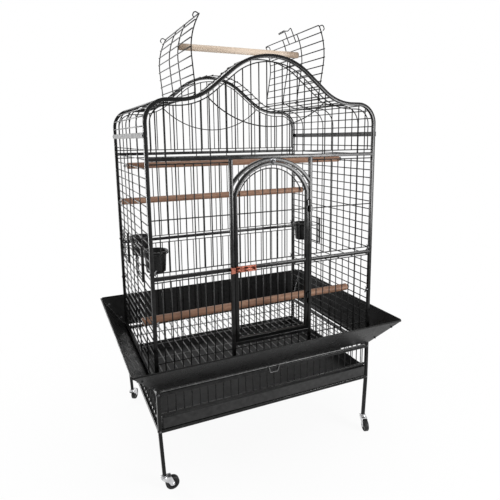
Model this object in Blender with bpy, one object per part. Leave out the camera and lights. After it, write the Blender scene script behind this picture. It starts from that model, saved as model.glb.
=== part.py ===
# A dome-topped parrot cage on a castor base, built piece by piece.
# Metres, +Z up, the front faces -Y, the origin is the middle of the footprint on the floor.
import bpy
import bmesh
from math import radians, sin, cos, pi, sqrt, atan2
from mathutils import Vector, Matrix

for thing in list(bpy.data.objects):
    bpy.data.objects.remove(thing, do_unlink=True)

# Overall frame: the post centres, the square tube and the wire.
HALF_W = 0.447
HALF_D = 0.324
TUBE = 0.0127
TUBE_H = TUBE / 2
DOOR_TUBE = 0.0095
DOOR_H = DOOR_TUBE / 2
WIRE_R = 0.0019
WIRE_C = WIRE_R * 1.2533          # half diagonal of a diamond with the same area as the round wire
LAP = 2.0 * WIRE_C - 0.0007       # how far apart two crossing wires sit when welded
CLEAR = 2.0 * WIRE_C + 0.0003     # how far apart they sit where they only pass each other
NEAR = 0.001                      # how far a tie bar stands in, to be welded to the passing wires too
FIT = 0.0003                      # the gap between two neighbouring pieces
BITE = 0.00035                    # how far a fitting is sunk into the tube that carries it

# Castors: leg name, sign in X, sign in Y, heading of the trailing wheel in degrees.
WHEEL_R = 0.025
WHEEL_HALF = 0.009
TRAIL = 0.028
CASTER_RISE = 0.012               # from the top of a wheel to the foot of its leg
CASTERS = (("front_left", -1, -1, 0.0), ("front_right", 1, -1, 254.0),
           ("back_left", -1, 1, 60.0), ("back_right", 1, 1, 75.0))

# Steps in height, from the floor up.
LEG_LENGTH = 0.169
LEAN = 0.008                      # how far each leg's foot stands in
TRAY_RISE = 0.016
TRAY_DEPTH = 0.041
SLOT_GAP = 0.007
GRILLE_HEIGHT = 0.089
BODY_GAP = 0.012
SILL_RISE = 0.112
DOOR_GAP = 0.014
LOWER_BODY = 0.396
UPPER_BODY = 0.398
THIN_RISE = 0.197
NECK = 0.075

# Heights.
LEG_FOOT = 2 * WHEEL_R + CASTER_RISE
BASE_LOW = LEG_FOOT + LEG_LENGTH
TRAY_LOW = BASE_LOW + TRAY_RISE
TRAY_TOP = TRAY_LOW + TRAY_DEPTH
SLOT_TOP = TRAY_TOP + SLOT_GAP
BASE_TOP = SLOT_TOP + GRILLE_HEIGHT
BODY_LOW = BASE_TOP + BODY_GAP
SILL_Z = BODY_LOW + SILL_RISE
DOOR_LOW = SILL_Z + DOOR_GAP
MID_RAIL = BODY_LOW + LOWER_BODY
THIN_RAIL = MID_RAIL + THIN_RISE
UPPER_RAIL = MID_RAIL + UPPER_BODY
STRAP_Z = UPPER_RAIL + NECK

# Wire spacing.
BAR_PITCH = 0.0304
LEFT_MARGIN = 0.032               # from the post centre to the first bar, on the left and on the right
RIGHT_MARGIN = 0.042
LEFT_DOOR_GAP = 0.0405            # from the jamb's centre to the last bar, on the left and on the right
RIGHT_DOOR_GAP = 0.0301
SIDE_LOW_WIRE = BODY_LOW + 0.0345
SIDE_PITCH = 0.0316
SIDE_UPRIGHTS = tuple(HALF_D * share for share in (-0.70, -0.43, -0.16, 0.11, 0.40, 0.70))
BASE_PITCH = 0.030
BAR_FOOT = BODY_LOW + 0.004
BAR_HEAD = 0.0045                 # how far below the arch's centre line a bar ends
RAIL_WIRE = 0.0168                # how far a level wire lies from the rail beside it
FIRST_WIRE = BODY_LOW + 0.0215
CARRIER = BODY_LOW + 0.087        # the level wire that is welded to every bar

# The dome line, as seen from the front.
SHOULDER_R = 0.075
SHOULDER_Z = STRAP_Z + 0.040
FLAT_RUN = 0.032
VALLEY_R = 0.19
CROWN_R = 0.23
SLOPE = radians(39.0)
FLAT_X = HALF_W - SHOULDER_R - FLAT_RUN
FLAT_Z = SHOULDER_Z + SHOULDER_R
SLOPE_LEN = (FLAT_X - (VALLEY_R + CROWN_R) * sin(SLOPE)) / cos(SLOPE)
PEAK_Z = FLAT_Z + (VALLEY_R + CROWN_R) * (1 - cos(SLOPE)) + SLOPE_LEN * sin(SLOPE)

# The roof hatch.
HINGE_X = FLAT_X - 0.090
HATCH_Y = HALF_D - 0.091
OPEN_LEFT = radians(56.0)
OPEN_RIGHT = radians(60.5)

# The front door.
JAMB_X = 0.160
ARCH_RISE = 0.090
JAMB_ARCH_TOP = UPPER_RAIL - 0.010
JAMB_ARCH_SPRING = JAMB_ARCH_TOP - ARCH_RISE
DOOR_X = JAMB_X - TUBE_H - DOOR_H - 0.0014
DOOR_TOP = JAMB_ARCH_TOP - 0.014
DOOR_SPRING = DOOR_TOP - ARCH_RISE - 0.016
PIN_X = DOOR_X + DOOR_H + 0.00075
PIN_Y = -(HALF_D + 0.0115)
DOOR_PITCH = 0.0302
DOOR_BARS = tuple(-DOOR_X + 0.023 + DOOR_PITCH * k for k in range(9))

# The seed skirt.
SKIRT_REACH = 0.092
SKIRT_RISE = 0.1125
SKIRT_LOW = BODY_LOW + 0.0005
SKIRT_HIGH = SKIRT_LOW + SKIRT_RISE

# Feeders: wall side (-1 left, +1 right) and the place along the wall.
FEEDERS = (("left_front", -1, -0.3858 * HALF_D), ("left_back", -1, 0.5247 * HALF_D),
           ("right", 1, 0.3858 * HALF_D))
OPENING = 0.050
OPEN_LOW = SIDE_LOW_WIRE + 10 * SIDE_PITCH
OPEN_HIGH = SIDE_LOW_WIRE + 14 * SIDE_PITCH
CUP_X = HALF_W - 0.0565
CUP_LOW = OPEN_LOW + 0.0185
CUP_LIP = 0.0738                  # height of the lip's underside above the cup's foot
RING_R = 0.0465
RING_WIRE = 0.0021

# Finishes: base colour, roughness and metallic value.
FINISHES = {
    "black_coat": ((0.020, 0.020, 0.022), 0.38, 0.0),
    "grey_coat": ((0.300, 0.300, 0.310), 0.30, 0.2),
    "pale_wire": ((0.550, 0.550, 0.550), 0.40, 0.3),
    "dark_wood": ((0.200, 0.080, 0.050), 0.60, 0.0),
    "pale_wood": ((0.720, 0.560, 0.400), 0.65, 0.0),
    "copper": ((0.450, 0.120, 0.060), 0.35, 0.8),
    "black_plastic": ((0.015, 0.015, 0.015), 0.35, 0.0),
    "chrome": ((0.650, 0.650, 0.660), 0.15, 1.0),
    "rubber": ((0.020, 0.020, 0.020), 0.70, 0.0),
}


def finish(name):
    """The material of that name, made the first time it is asked for."""
    found = bpy.data.materials.get(name)
    if found is None:
        base, roughness, metallic = FINISHES[name]
        found = bpy.data.materials.new(name)
        found.use_nodes = True
        found.diffuse_color = base + (1.0,)
        shader = found.node_tree.nodes["Principled BSDF"]
        shader.inputs["Base Color"].default_value = base + (1.0,)
        shader.inputs["Roughness"].default_value = roughness
        shader.inputs["Metallic"].default_value = metallic
    return found


def bar(path, up, half, square=False, sides=4, loop=False):
    """A solid bar along a path. The section is a diamond, a square or an even polygon."""
    pts = [Vector(p) for p in path]
    count = len(pts)
    last = count if loop else count - 1
    ways = [(pts[(i + 1) % count] - pts[i]).normalized() for i in range(last)]
    side = ways[0].cross(Vector(up)).normalized()
    lift = side.cross(ways[0]).normalized()
    radius = half * sqrt(2.0) if square else half
    turn = pi / 4 if square else 0.0
    if sides > 4:
        turn = pi / sides
    ring = []
    for k in range(sides):
        a = turn + 2 * pi * k / sides
        ring.append(pts[0] + side * cos(a) * radius + lift * sin(a) * radius)
    if loop:
        plane = (ways[-1] + ways[0]).normalized()
        ring = [v + ways[0] * ((pts[0] - v).dot(plane) / ways[0].dot(plane)) for v in ring]
    rings = [ring]
    for i in range(1, count):
        way = ways[i - 1]
        plane = way
        if i < last:
            plane = (ways[i - 1] + ways[i]).normalized()
        rings.append([v + way * ((pts[i] - v).dot(plane) / way.dot(plane)) for v in rings[-1]])
    verts = [v for r in rings for v in r]
    faces = []
    for i in range(last):
        a = i * sides
        b = ((i + 1) % count) * sides
        for k in range(sides):
            n = (k + 1) % sides
            faces.append((a + k, b + k, b + n, a + n))
    if not loop:
        faces.append(tuple(range(sides)))
        faces.append(tuple(reversed(range((count - 1) * sides, count * sides))))
    return verts, faces


def block(low, high):
    """A plain box between two corners."""
    (x0, y0, z0), (x1, y1, z1) = low, high
    verts = [Vector((x, y, z)) for z in (z0, z1) for y in (y0, y1) for x in (x0, x1)]
    faces = [(0, 2, 3, 1), (4, 5, 7, 6), (0, 1, 5, 4), (2, 6, 7, 3), (0, 4, 6, 2), (1, 3, 7, 5)]
    return verts, faces


def turned(profile, steps, spot, axis=(0, 0, 1)):
    """A turned shape from a closed outline of (radius, height) points. Radius 0 makes a pole."""
    axis = Vector(axis).normalized()
    other = Vector((0, 0, 1)) if abs(axis.z) < 0.9 else Vector((1, 0, 0))
    one = other.cross(axis).normalized()
    two = axis.cross(one)
    verts = []
    rows = []
    for r, h in profile:
        centre = Vector(spot) + axis * h
        if r == 0:
            rows.append([len(verts)] * steps)
            verts.append(centre)
            continue
        row = []
        for k in range(steps):
            a = 2 * pi * k / steps
            row.append(len(verts))
            verts.append(centre + one * cos(a) * r + two * sin(a) * r)
        rows.append(row)
    faces = []
    total = len(rows)
    for i in range(total):
        low, high = rows[i], rows[(i + 1) % total]
        if profile[i][0] == 0 and profile[(i + 1) % total][0] == 0:
            continue
        for k in range(steps):
            n = (k + 1) % steps
            face = []
            for v in (low[k], low[n], high[n], high[k]):
                if v not in face:
                    face.append(v)
            faces.append(tuple(face))
    return verts, faces


def make(name, pieces, material, helper=False, pivot=(0, 0, 0), smooth=False):
    """One mesh object from one or more loose shapes, with its origin at the pivot."""
    verts, faces = [], []
    for v, f in pieces:
        base = len(verts)
        verts += v
        faces += [tuple(i + base for i in face) for face in f]
    mesh = bpy.data.meshes.new(name)
    mesh.from_pydata(verts, [], faces)
    bm = bmesh.new()
    bm.from_mesh(mesh)
    bmesh.ops.recalc_face_normals(bm, faces=bm.faces)
    bmesh.ops.translate(bm, verts=bm.verts, vec=-Vector(pivot))
    bm.to_mesh(mesh)
    bm.free()
    if smooth:
        mesh.shade_smooth()
        mesh.set_sharp_from_angle(angle=radians(40))
    mesh.materials.append(finish(material))
    obj = bpy.data.objects.new(name, mesh)
    obj.location = pivot
    bpy.context.scene.collection.objects.link(obj)
    if helper:
        obj.hide_render = True
        obj.display_type = "WIRE"
    return obj


def weld(name, groups, material, pivot=(0, 0, 0)):
    """One welded piece from groups of bars. No two bars of one group may touch."""
    obj = make(name, groups[0], material, pivot=pivot)
    for i, group in enumerate(groups[1:]):
        tool = make(name + "_weld%d" % i, group, material, helper=True)
        mod = obj.modifiers.new("weld%d" % i, "BOOLEAN")
        mod.operation = "UNION"
        mod.solver = "EXACT"
        mod.object = tool
    return obj


def cut(obj, shapes):
    """Take shapes away from a piece."""
    tool = make(obj.name + "_cut", shapes, "black_coat", helper=True)
    mod = obj.modifiers.new("cut", "BOOLEAN")
    mod.operation = "DIFFERENCE"
    mod.solver = "EXACT"
    mod.object = tool


# The stretches of the dome line: upright, shoulder, flat, valley, slope and crown.
DOME_LEGS = (SHOULDER_Z - STRAP_Z, SHOULDER_R * pi / 2, FLAT_RUN,
             VALLEY_R * SLOPE, SLOPE_LEN, CROWN_R * SLOPE)
HALF_RUN = sum(DOME_LEGS)


def dome_at(s):
    """A point of the right half of the dome line at run s from the strap, with its outward normal."""
    legs = DOME_LEGS
    if s <= legs[0]:
        return HALF_W, STRAP_Z + s, 1.0, 0.0
    s -= legs[0]
    if s <= legs[1]:
        a = s / SHOULDER_R
        return (HALF_W - SHOULDER_R + SHOULDER_R * cos(a), SHOULDER_Z + SHOULDER_R * sin(a),
                cos(a), sin(a))
    s -= legs[1]
    if s <= legs[2]:
        return HALF_W - SHOULDER_R - s, FLAT_Z, 0.0, 1.0
    s -= legs[2]
    if s <= legs[3]:
        a = s / VALLEY_R
        return FLAT_X - VALLEY_R * sin(a), FLAT_Z + VALLEY_R * (1 - cos(a)), sin(a), cos(a)
    s -= legs[3]
    if s <= legs[4]:
        x = FLAT_X - VALLEY_R * sin(SLOPE) - s * cos(SLOPE)
        z = FLAT_Z + VALLEY_R * (1 - cos(SLOPE)) + s * sin(SLOPE)
        return x, z, sin(SLOPE), cos(SLOPE)
    s = min(s - legs[4], legs[5])
    a = SLOPE - s / CROWN_R
    return CROWN_R * sin(a), PEAK_Z - CROWN_R + CROWN_R * cos(a), sin(a), cos(a)


def run_at_x(x):
    """The run along the dome line at which it reaches a given x."""
    low, high = 0.0, HALF_RUN
    for _ in range(50):
        mid = (low + high) / 2
        if dome_at(mid)[0] > x:
            low = mid
        else:
            high = mid
    return (low + high) / 2


HINGE_RUN = run_at_x(HINGE_X)
HINGE_Z = dome_at(HINGE_RUN)[1]


def dome_z(x, inside=0.0):
    """The height of the dome line, or of a line inside it, at a given x."""
    best = None
    for i in range(401):
        px, pz, nx, nz = dome_at(HALF_RUN * i / 400)
        gap = abs(px - nx * inside - abs(x))
        if best is None or gap < best[0] or (gap < 0.0004 and pz - nz * inside > best[1]):
            best = (gap, pz - nz * inside)
    return best[1]


def dome_line(runs, y, shift=0.0):
    """Points from the left side over the top to the right side, at the given runs."""
    right = []
    for s in runs:
        x, z, nx, nz = dome_at(s)
        right.append((x + nx * shift, y, z + nz * shift))
    left = [(-x, yy, z) for x, yy, z in right]
    whole = left + list(reversed(right))
    if abs(right[-1][0]) < 1e-6:
        whole = left + list(reversed(right[:-1]))
    return whole


POST_IN_X = HALF_W - TUBE_H - FIT
POST_IN_Y = HALF_D - TUBE_H - FIT
UP = (0, 0, 1)
OUT = (0, -1, 0)
WALL = (1, 0, 0)

# Corner posts of the cage body.
for sx, lr in ((-1, "left"), (1, "right")):
    for sy, fb in ((-1, "front"), (1, "back")):
        make("post_%s_%s" % (fb, lr),
             [bar([(sx * HALF_W, sy * HALF_D, BASE_TOP + FIT), (sx * HALF_W, sy * HALF_D, STRAP_Z - FIT)],
                  OUT, TUBE_H, square=True)], "black_coat")

# The two bent tubes that carry the dome.
arch_runs = [0.0]
for leg, steps in zip(DOME_LEGS, (1, 4, 1, 3, 1, 4)):
    start = arch_runs[-1]
    arch_runs += [start + leg * i / steps for i in range(1, steps + 1)]
for sy, fb in ((-1, "front"), (1, "back")):
    make("arch_" + fb, [bar(dome_line(arch_runs, sy * HALF_D), OUT, TUBE_H, square=True)], "black_coat")

# Front wall: the tube frame with the door surround and the fixed halves of the door hinges.
KNUCKLE_R = 0.0044
KNUCKLE_LEN = 0.022
HINGES = (SILL_Z + 0.132, THIN_RAIL + 0.014)


def level(z, x0, x1, y=-HALF_D, half=TUBE_H):
    return bar([(x0, y, z), (x1, y, z)], UP, half, square=True)


def knuckle(z0, z1):
    profile = ((0, 0), (KNUCKLE_R, 0), (KNUCKLE_R, z1 - z0), (0, z1 - z0))
    return turned(profile, 10, (PIN_X, PIN_Y, z0))


rise = JAMB_ARCH_TOP - JAMB_ARCH_SPRING
arch_r = (JAMB_X ** 2 + rise ** 2) / (2 * rise)
arch_c = JAMB_ARCH_TOP - arch_r
spread = atan2(JAMB_X, JAMB_ARCH_SPRING - arch_c)
jamb_arch = [(arch_r * sin(spread * t / 6), -HALF_D, arch_c + arch_r * cos(spread * t / 6))
             for t in range(-6, 7)]
rails = [level(BODY_LOW + TUBE_H, -POST_IN_X, POST_IN_X),
         level(UPPER_RAIL, -POST_IN_X, POST_IN_X),
         level(MID_RAIL, -POST_IN_X, -JAMB_X),
         level(MID_RAIL, JAMB_X, POST_IN_X),
         level(SILL_Z, -JAMB_X, JAMB_X, half=DOOR_H)]
jambs = [bar([(sx * JAMB_X, -HALF_D, BODY_LOW + TUBE_H), (sx * JAMB_X, -HALF_D, UPPER_RAIL)],
             OUT, TUBE_H, square=True) for sx in (-1, 1)]
TUBE_FACE = -(HALF_D + TUBE_H)
DOOR_FACE = -(HALF_D + DOOR_H)
PLAY = 0.0005
fixed_leaf = [block((PIN_X + 0.0006, PIN_Y, hz - KNUCKLE_LEN - PLAY),
                    (JAMB_X + 0.0055, TUBE_FACE + BITE, hz - PLAY))
              for hz in HINGES]
fixed_pin = [knuckle(hz - KNUCKLE_LEN, hz - 2 * PLAY) for hz in HINGES]
TAB_HALF = 0.009
keeper_tab = [block((-TAB_HALF, TUBE_FACE - 0.00215, JAMB_ARCH_TOP - 0.012),
                    (TAB_HALF, TUBE_FACE + BITE, JAMB_ARCH_TOP + 0.008))]
weld("front_frame", [rails, jambs, [bar(jamb_arch, OUT, TUBE_H * 0.96, square=True)],
                     fixed_leaf, fixed_pin, keeper_tab], "black_coat")

# Front wall: bars welded behind the frame.
BAR_Y = HALF_D - TUBE_H - FIT - WIRE_C
RUNNER_Y = BAR_Y - LAP
PASS_Y = BAR_Y - CLEAR
LEVEL_REACH = HALF_W - CLEAR - WIRE_C - FIT
THIN_LEVELS = (FIRST_WIRE, MID_RAIL - RAIL_WIRE, MID_RAIL + RAIL_WIRE, THIN_RAIL, UPPER_RAIL - RAIL_WIRE)


def filled(far, near):
    """Bar places from one end to the other, as near to the pitch as whole steps allow."""
    steps = round(abs(far - near) / BAR_PITCH)
    return [far + (near - far) * k / steps for k in range(steps + 1)]


left_bars = filled(-(HALF_W - LEFT_MARGIN), -(JAMB_X + LEFT_DOOR_GAP))
right_bars = filled(HALF_W - RIGHT_MARGIN, JAMB_X + RIGHT_DOOR_GAP)


def uprights(xs, z0, z1, y, ties=(), shift=0.0):
    bars = []
    for i, x in enumerate(xs):
        yy = y + shift if i in ties else y
        bars.append(bar([(x, yy, z0), (x, yy, z1)], OUT, WIRE_C))
    return bars


def crossings(zs, x0, x1, y):
    return [bar([(x0, y, z), (x1, y, z)], UP, WIRE_C) for z in zs]


SIDE_TIES = (2, 5)


def tall_bars(xs, y, ties=()):
    """Bars from the bottom rail up to the arch. The tie bars stop at the upper rail."""
    bars = []
    for i, x in enumerate(xs):
        if i in ties:
            bars.append(bar([(x, y + NEAR, BAR_FOOT), (x, y + NEAR, UPPER_RAIL + 0.0035)], OUT, WIRE_C))
        else:
            bars.append(bar([(x, y, BAR_FOOT), (x, y, dome_z(x, BAR_HEAD))], OUT, WIRE_C))
    return bars


def front_levels(x0, x1):
    return crossings(THIN_LEVELS, x0, x1, -PASS_Y) + crossings((CARRIER,), x0, x1, -RUNNER_Y)


weld("front_bars_left", [tall_bars(left_bars, -BAR_Y, SIDE_TIES),
                         front_levels(-LEVEL_REACH, -JAMB_X)], "black_coat")
weld("front_bars_right", [tall_bars(right_bars, -BAR_Y, SIDE_TIES),
                          front_levels(JAMB_X, LEVEL_REACH)], "black_coat")
sill_reach = JAMB_X - 0.0025
weld("front_bars_sill", [uprights(DOOR_BARS, BAR_FOOT, SILL_Z, -BAR_Y, (2, 6), NEAR),
                         crossings((FIRST_WIRE,), -sill_reach, sill_reach, -PASS_Y)
                         + crossings((CARRIER,), -sill_reach, sill_reach, -RUNNER_Y)], "black_coat")

# The gable wires: a wire inside the arch and a hanging swag wire.
gable_xs = []
while not gable_xs or gable_xs[-1] < HALF_W - RIGHT_MARGIN - BAR_PITCH / 2:
    gable_xs.append(LEFT_MARGIN - HALF_W + BAR_PITCH * len(gable_xs))
INNER_SHIFT = 0.0175
GABLE_FOOT = UPPER_RAIL + 0.0055
GABLE_WIRE = UPPER_RAIL + RAIL_WIRE
SWAG_HALF = HALF_W - 0.2165
SWAG_DROP = 0.095
SWAG_LOW = PEAK_Z - 0.2395


def gable_lines(sy, inner_y, swag_y):
    curve = dome_line(arch_runs, sy * inner_y, -INNER_SHIFT)
    legs = [(side * (HALF_W - INNER_SHIFT), sy * inner_y, GABLE_FOOT) for side in (-1, 1)]
    inner = bar([legs[0]] + curve + [legs[1]], OUT, WIRE_C)
    swag_r = (SWAG_HALF ** 2 + SWAG_DROP ** 2) / (2 * SWAG_DROP)
    swag = []
    for k in range(-4, 5):
        a = atan2(SWAG_HALF, swag_r - SWAG_DROP) * k / 4
        swag.append((swag_r * sin(a), sy * swag_y, SWAG_LOW + swag_r * (1 - cos(a))))
    border = crossings((GABLE_WIRE,), -LEVEL_REACH, LEVEL_REACH, sy * inner_y)
    return [inner, bar(swag, OUT, WIRE_C)] + border


# Front gable: short bars over the door and over the tie bars.
risers = []
door_xs = [x for x in gable_xs if abs(x) < JAMB_X + 0.0125]
over = door_xs + [left_bars[i] for i in SIDE_TIES] + [right_bars[i] for i in SIDE_TIES]
for i, x in enumerate(over):
    y = -BAR_Y + NEAR * (2.0 if i in (2, len(door_xs) - 3) else 1.0)
    risers.append(bar([(x, y, GABLE_FOOT), (x, y, dome_z(x, BAR_HEAD))], OUT, WIRE_C))
weld("gable_front", [risers, gable_lines(-1, PASS_Y, PASS_Y - NEAR)], "black_coat")

# Back wall: three rails, with the bars on their inner side running up to the arch.
BACK_LEVELS = (FIRST_WIRE, MID_RAIL - RAIL_WIRE, MID_RAIL + RAIL_WIRE, UPPER_RAIL - RAIL_WIRE)
SHORT_BARS = (3, len(gable_xs) - 4)
TIE_BARS = (9, len(gable_xs) - 10)
back_rails = [level(z, -POST_IN_X, POST_IN_X, HALF_D) for z in (BODY_LOW + TUBE_H, MID_RAIL, UPPER_RAIL)]
back_bars = []
for i, x in enumerate(gable_xs):
    y = BAR_Y
    if i in SHORT_BARS:
        y = BAR_Y + 0.0009
    if i in TIE_BARS:
        y = BAR_Y - NEAR
    top = dome_z(x, 0.0110 if i in SHORT_BARS else BAR_HEAD)
    back_bars.append(bar([(x, y, BAR_FOOT), (x, y, top)], OUT, WIRE_C))
back_levels = crossings(BACK_LEVELS, -LEVEL_REACH, LEVEL_REACH, PASS_Y)
back_levels += crossings((THIN_RAIL,), -LEVEL_REACH, LEVEL_REACH, RUNNER_Y + 0.0007)
weld("back_panel", [back_bars, back_levels + gable_lines(1, PASS_Y, PASS_Y), back_rails], "black_coat")

# Side walls: bottom rail, flat top strap, level wires, uprights, feeder openings and cup rings.
STRAP_HALF = 0.0016
STRAP_DROP = 0.0120
STRAP_RISE = 0.0020
level_count = int((STRAP_Z - 0.030 - SIDE_LOW_WIRE) / SIDE_PITCH) + 1
side_levels = [SIDE_LOW_WIRE + SIDE_PITCH * k for k in range(level_count)]
for sx, lr in ((-1, "left"), (1, "right")):
    places = [y for _, side, y in FEEDERS if side == sx]
    xw = sx * HALF_W
    xl = sx * (HALF_W - CLEAR)
    wires = []
    for z in side_levels:
        stops = [-POST_IN_Y]
        if OPEN_LOW + 0.001 < z < OPEN_HIGH - 0.001:
            for y in sorted(places):
                stops += [y - OPENING + 0.0009, y + OPENING - 0.0009]
        stops.append(POST_IN_Y)
        for i in range(0, len(stops), 2):
            wires.append(bar([(xl, stops[i], z), (xl, stops[i + 1], z)], UP, WIRE_C))
    posts = []
    xt = sx * (HALF_W - NEAR)
    for i, y in enumerate(SIDE_UPRIGHTS):
        gap = any(abs(y - p) < OPENING for p in places)
        xx = xt if i == 2 else xw
        if gap:
            posts.append(bar([(xx, y, BODY_LOW + TUBE_H), (xx, y, OPEN_LOW)], WALL, WIRE_C))
            posts.append(bar([(xx, y, OPEN_HIGH), (xx, y, STRAP_Z)], WALL, WIRE_C))
        else:
            posts.append(bar([(xx, y, BODY_LOW + TUBE_H), (xx, y, STRAP_Z)], WALL, WIRE_C))
    for p in places:
        for s in (-1, 1):
            y = p + s * OPENING
            posts.append(bar([(xt, y, OPEN_LOW - 0.004), (xt, y, OPEN_HIGH + 0.004)], WALL, WIRE_C))
    sill = bar([(xw, -POST_IN_Y, BODY_LOW + TUBE_H), (xw, POST_IN_Y, BODY_LOW + TUBE_H)], UP, TUBE_H,
               square=True)
    strap = block((xw - STRAP_HALF, -POST_IN_Y, STRAP_Z - STRAP_DROP),
                  (xw + STRAP_HALF, POST_IN_Y, STRAP_Z + STRAP_RISE))
    weld("side_panel_" + lr, [wires, posts, [sill, strap]], "black_coat")

# Cup rings: a wire ring under each cup's lip, with two arms out to the sides of the feeder opening.
RING_Z = CUP_LOW + CUP_LIP - RING_WIRE - FIT
ARM_END = HALF_W - NEAR - WIRE_C - FIT
for tag, sx, y in FEEDERS:
    around = [(sx * CUP_X + RING_R * cos(2 * pi * k / 12), y + RING_R * sin(2 * pi * k / 12), RING_Z)
              for k in range(12)]
    arms = [bar([(sx * (CUP_X + 0.004), y + s * (RING_R - 0.0003), RING_Z + 0.0001),
                     (sx * ARM_END, y + s * OPENING, RING_Z + 0.0001)], UP, WIRE_R) for s in (-1, 1)]
    weld("cup_ring_" + tag, [[bar(around, UP, RING_WIRE, loop=True)], arms], "black_coat")

# Feeder doors on the outside of the walls. Each has a border wire, level wires and a hinge rod.
FEED_X = HALF_W + 2 * WIRE_C + 2 * FIT
FEED_LEVELS = tuple(SIDE_LOW_WIRE + SIDE_PITCH * k for k in (11, 12, 13))
FEED_SIDE = OPENING + 0.004       # from a feeder door's middle to its border wire
FEED_ROD = OPENING + 0.0075       # and to its hinge rod
for tag, sx, y in FEEDERS:
    x = sx * FEED_X
    z0, z1 = OPEN_LOW + 0.0035, OPEN_HIGH - 0.0035
    border = [(x, y - FEED_SIDE, z0), (x, y + FEED_SIDE, z0),
              (x, y + FEED_SIDE, z1), (x, y - FEED_SIDE, z1)]
    reach = FEED_SIDE + 0.0009
    inside = [bar([(x + sx * LAP, y - reach, z), (x + sx * LAP, y + reach, z)], UP, WIRE_C)
              for z in FEED_LEVELS]
    rod = bar([(x, y - FEED_ROD, z0 - 0.004), (x, y - FEED_ROD, z1 + 0.004)], WALL, 0.0028)
    x0, x1 = sorted((x - sx * 0.0012, x + sx * 0.0056))
    lever = block((x0, y + FEED_SIDE - 0.016, FEED_LEVELS[1] - 0.0037),
                  (x1, y + FEED_SIDE - 0.002, FEED_LEVELS[1] + 0.0033))
    weld("feeder_door_" + tag, [[bar(border, WALL, WIRE_C, loop=True)], inside, [rod], [lever]],
         "black_coat", pivot=(x, y - FEED_ROD, z0))

# Feed cups with a lip that rests on the ring.
CUP_R = RING_R - 0.0050           # at the top, under the lip
CUP_RIM = CUP_LIP + 0.0072
CUP_FLOOR = 0.0035
CUP = ((0, 0), (CUP_R - 0.0055, 0), (CUP_R, CUP_LIP), (CUP_R + 0.0063, CUP_LIP), (CUP_R + 0.0055, CUP_RIM),
       (CUP_R - 0.0020, CUP_RIM), (CUP_R - 0.0072, CUP_FLOOR), (0, CUP_FLOOR))
for tag, sx, y in FEEDERS:
    make("cup_" + tag, [turned(CUP, 14, (sx * CUP_X, y, CUP_LOW))], "black_plastic",
         pivot=(sx * CUP_X, y, CUP_LOW), smooth=True)

# Roof shoulders: the side uprights carry on over the shoulder to the hinge rod of the hatch.
SHOULDER_STEPS = 9
SHOULDER_START = 0.0024
HINGE_ROD = 0.0031
for sx, lr in ((-1, "left"), (1, "right")):
    knots = []
    for j in range(SHOULDER_STEPS + 1):
        x, z, nx, nz = dome_at(SHOULDER_START + (HINGE_RUN - SHOULDER_START) * j / SHOULDER_STEPS)
        knots.append((sx * x, z, sx * nx, nz))
    ribs = []
    for i, y in enumerate(SIDE_UPRIGHTS):
        out = NEAR if i == 2 else 0.0
        ribs.append(bar([(x + nx * out, y, z + nz * out) for x, z, nx, nz in knots], (0, 1, 0), WIRE_C))
    runners = []
    for j in range(SHOULDER_STEPS):
        mx = (knots[j][0] + knots[j + 1][0]) / 2
        mz = (knots[j][1] + knots[j + 1][1]) / 2
        way = Vector((knots[j + 1][0] - knots[j][0], 0, knots[j + 1][1] - knots[j][1])).normalized()
        normal = Vector((way.z, 0, -way.x)) * sx
        mx += normal.x * CLEAR
        mz += normal.z * CLEAR
        runners.append(bar([(mx, -POST_IN_Y, mz), (mx, POST_IN_Y, mz)], normal, WIRE_C))
    rod = bar([(sx * HINGE_X, -POST_IN_Y, HINGE_Z), (sx * HINGE_X, POST_IN_Y, HINGE_Z)], UP, HINGE_ROD)
    weld("roof_shoulder_" + lr, [ribs, runners, [rod]], "black_coat")

# Fixed roof strips along the front and back arches.
STRIP_Y = HATCH_Y + 0.0058
STRIP_PITCH = 0.0305
strip_count = int((HALF_RUN - HINGE_RUN) / STRIP_PITCH)
for sy, fb in ((-1, "front"), (1, "back")):
    runs = [HINGE_RUN + 0.0060]
    runs += [HINGE_RUN + STRIP_PITCH * (j + 0.5) for j in range(1, strip_count)]
    runs.append(HALF_RUN - 0.0003)
    line = dome_line(runs, sy * STRIP_Y)
    edge = bar(line, (0, 1, 0), WIRE_C)
    rungs = []
    for j in range(len(line) - 1):
        a, b = Vector(line[j]), Vector(line[j + 1])
        if (b - a).length < 0.01:
            continue
        way = (b - a).normalized()
        normal = Vector((-way.z, 0, way.x))
        if normal.z < 0:
            normal = -normal
        mid = (a + b) / 2 + normal * LAP
        rungs.append(bar([(mid.x, sy * (STRIP_Y - 0.0023), mid.z), (mid.x, sy * POST_IN_Y, mid.z)],
                         normal, WIRE_C))
    weld("roof_strip_" + fb, [[edge], rungs], "black_coat")

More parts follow.
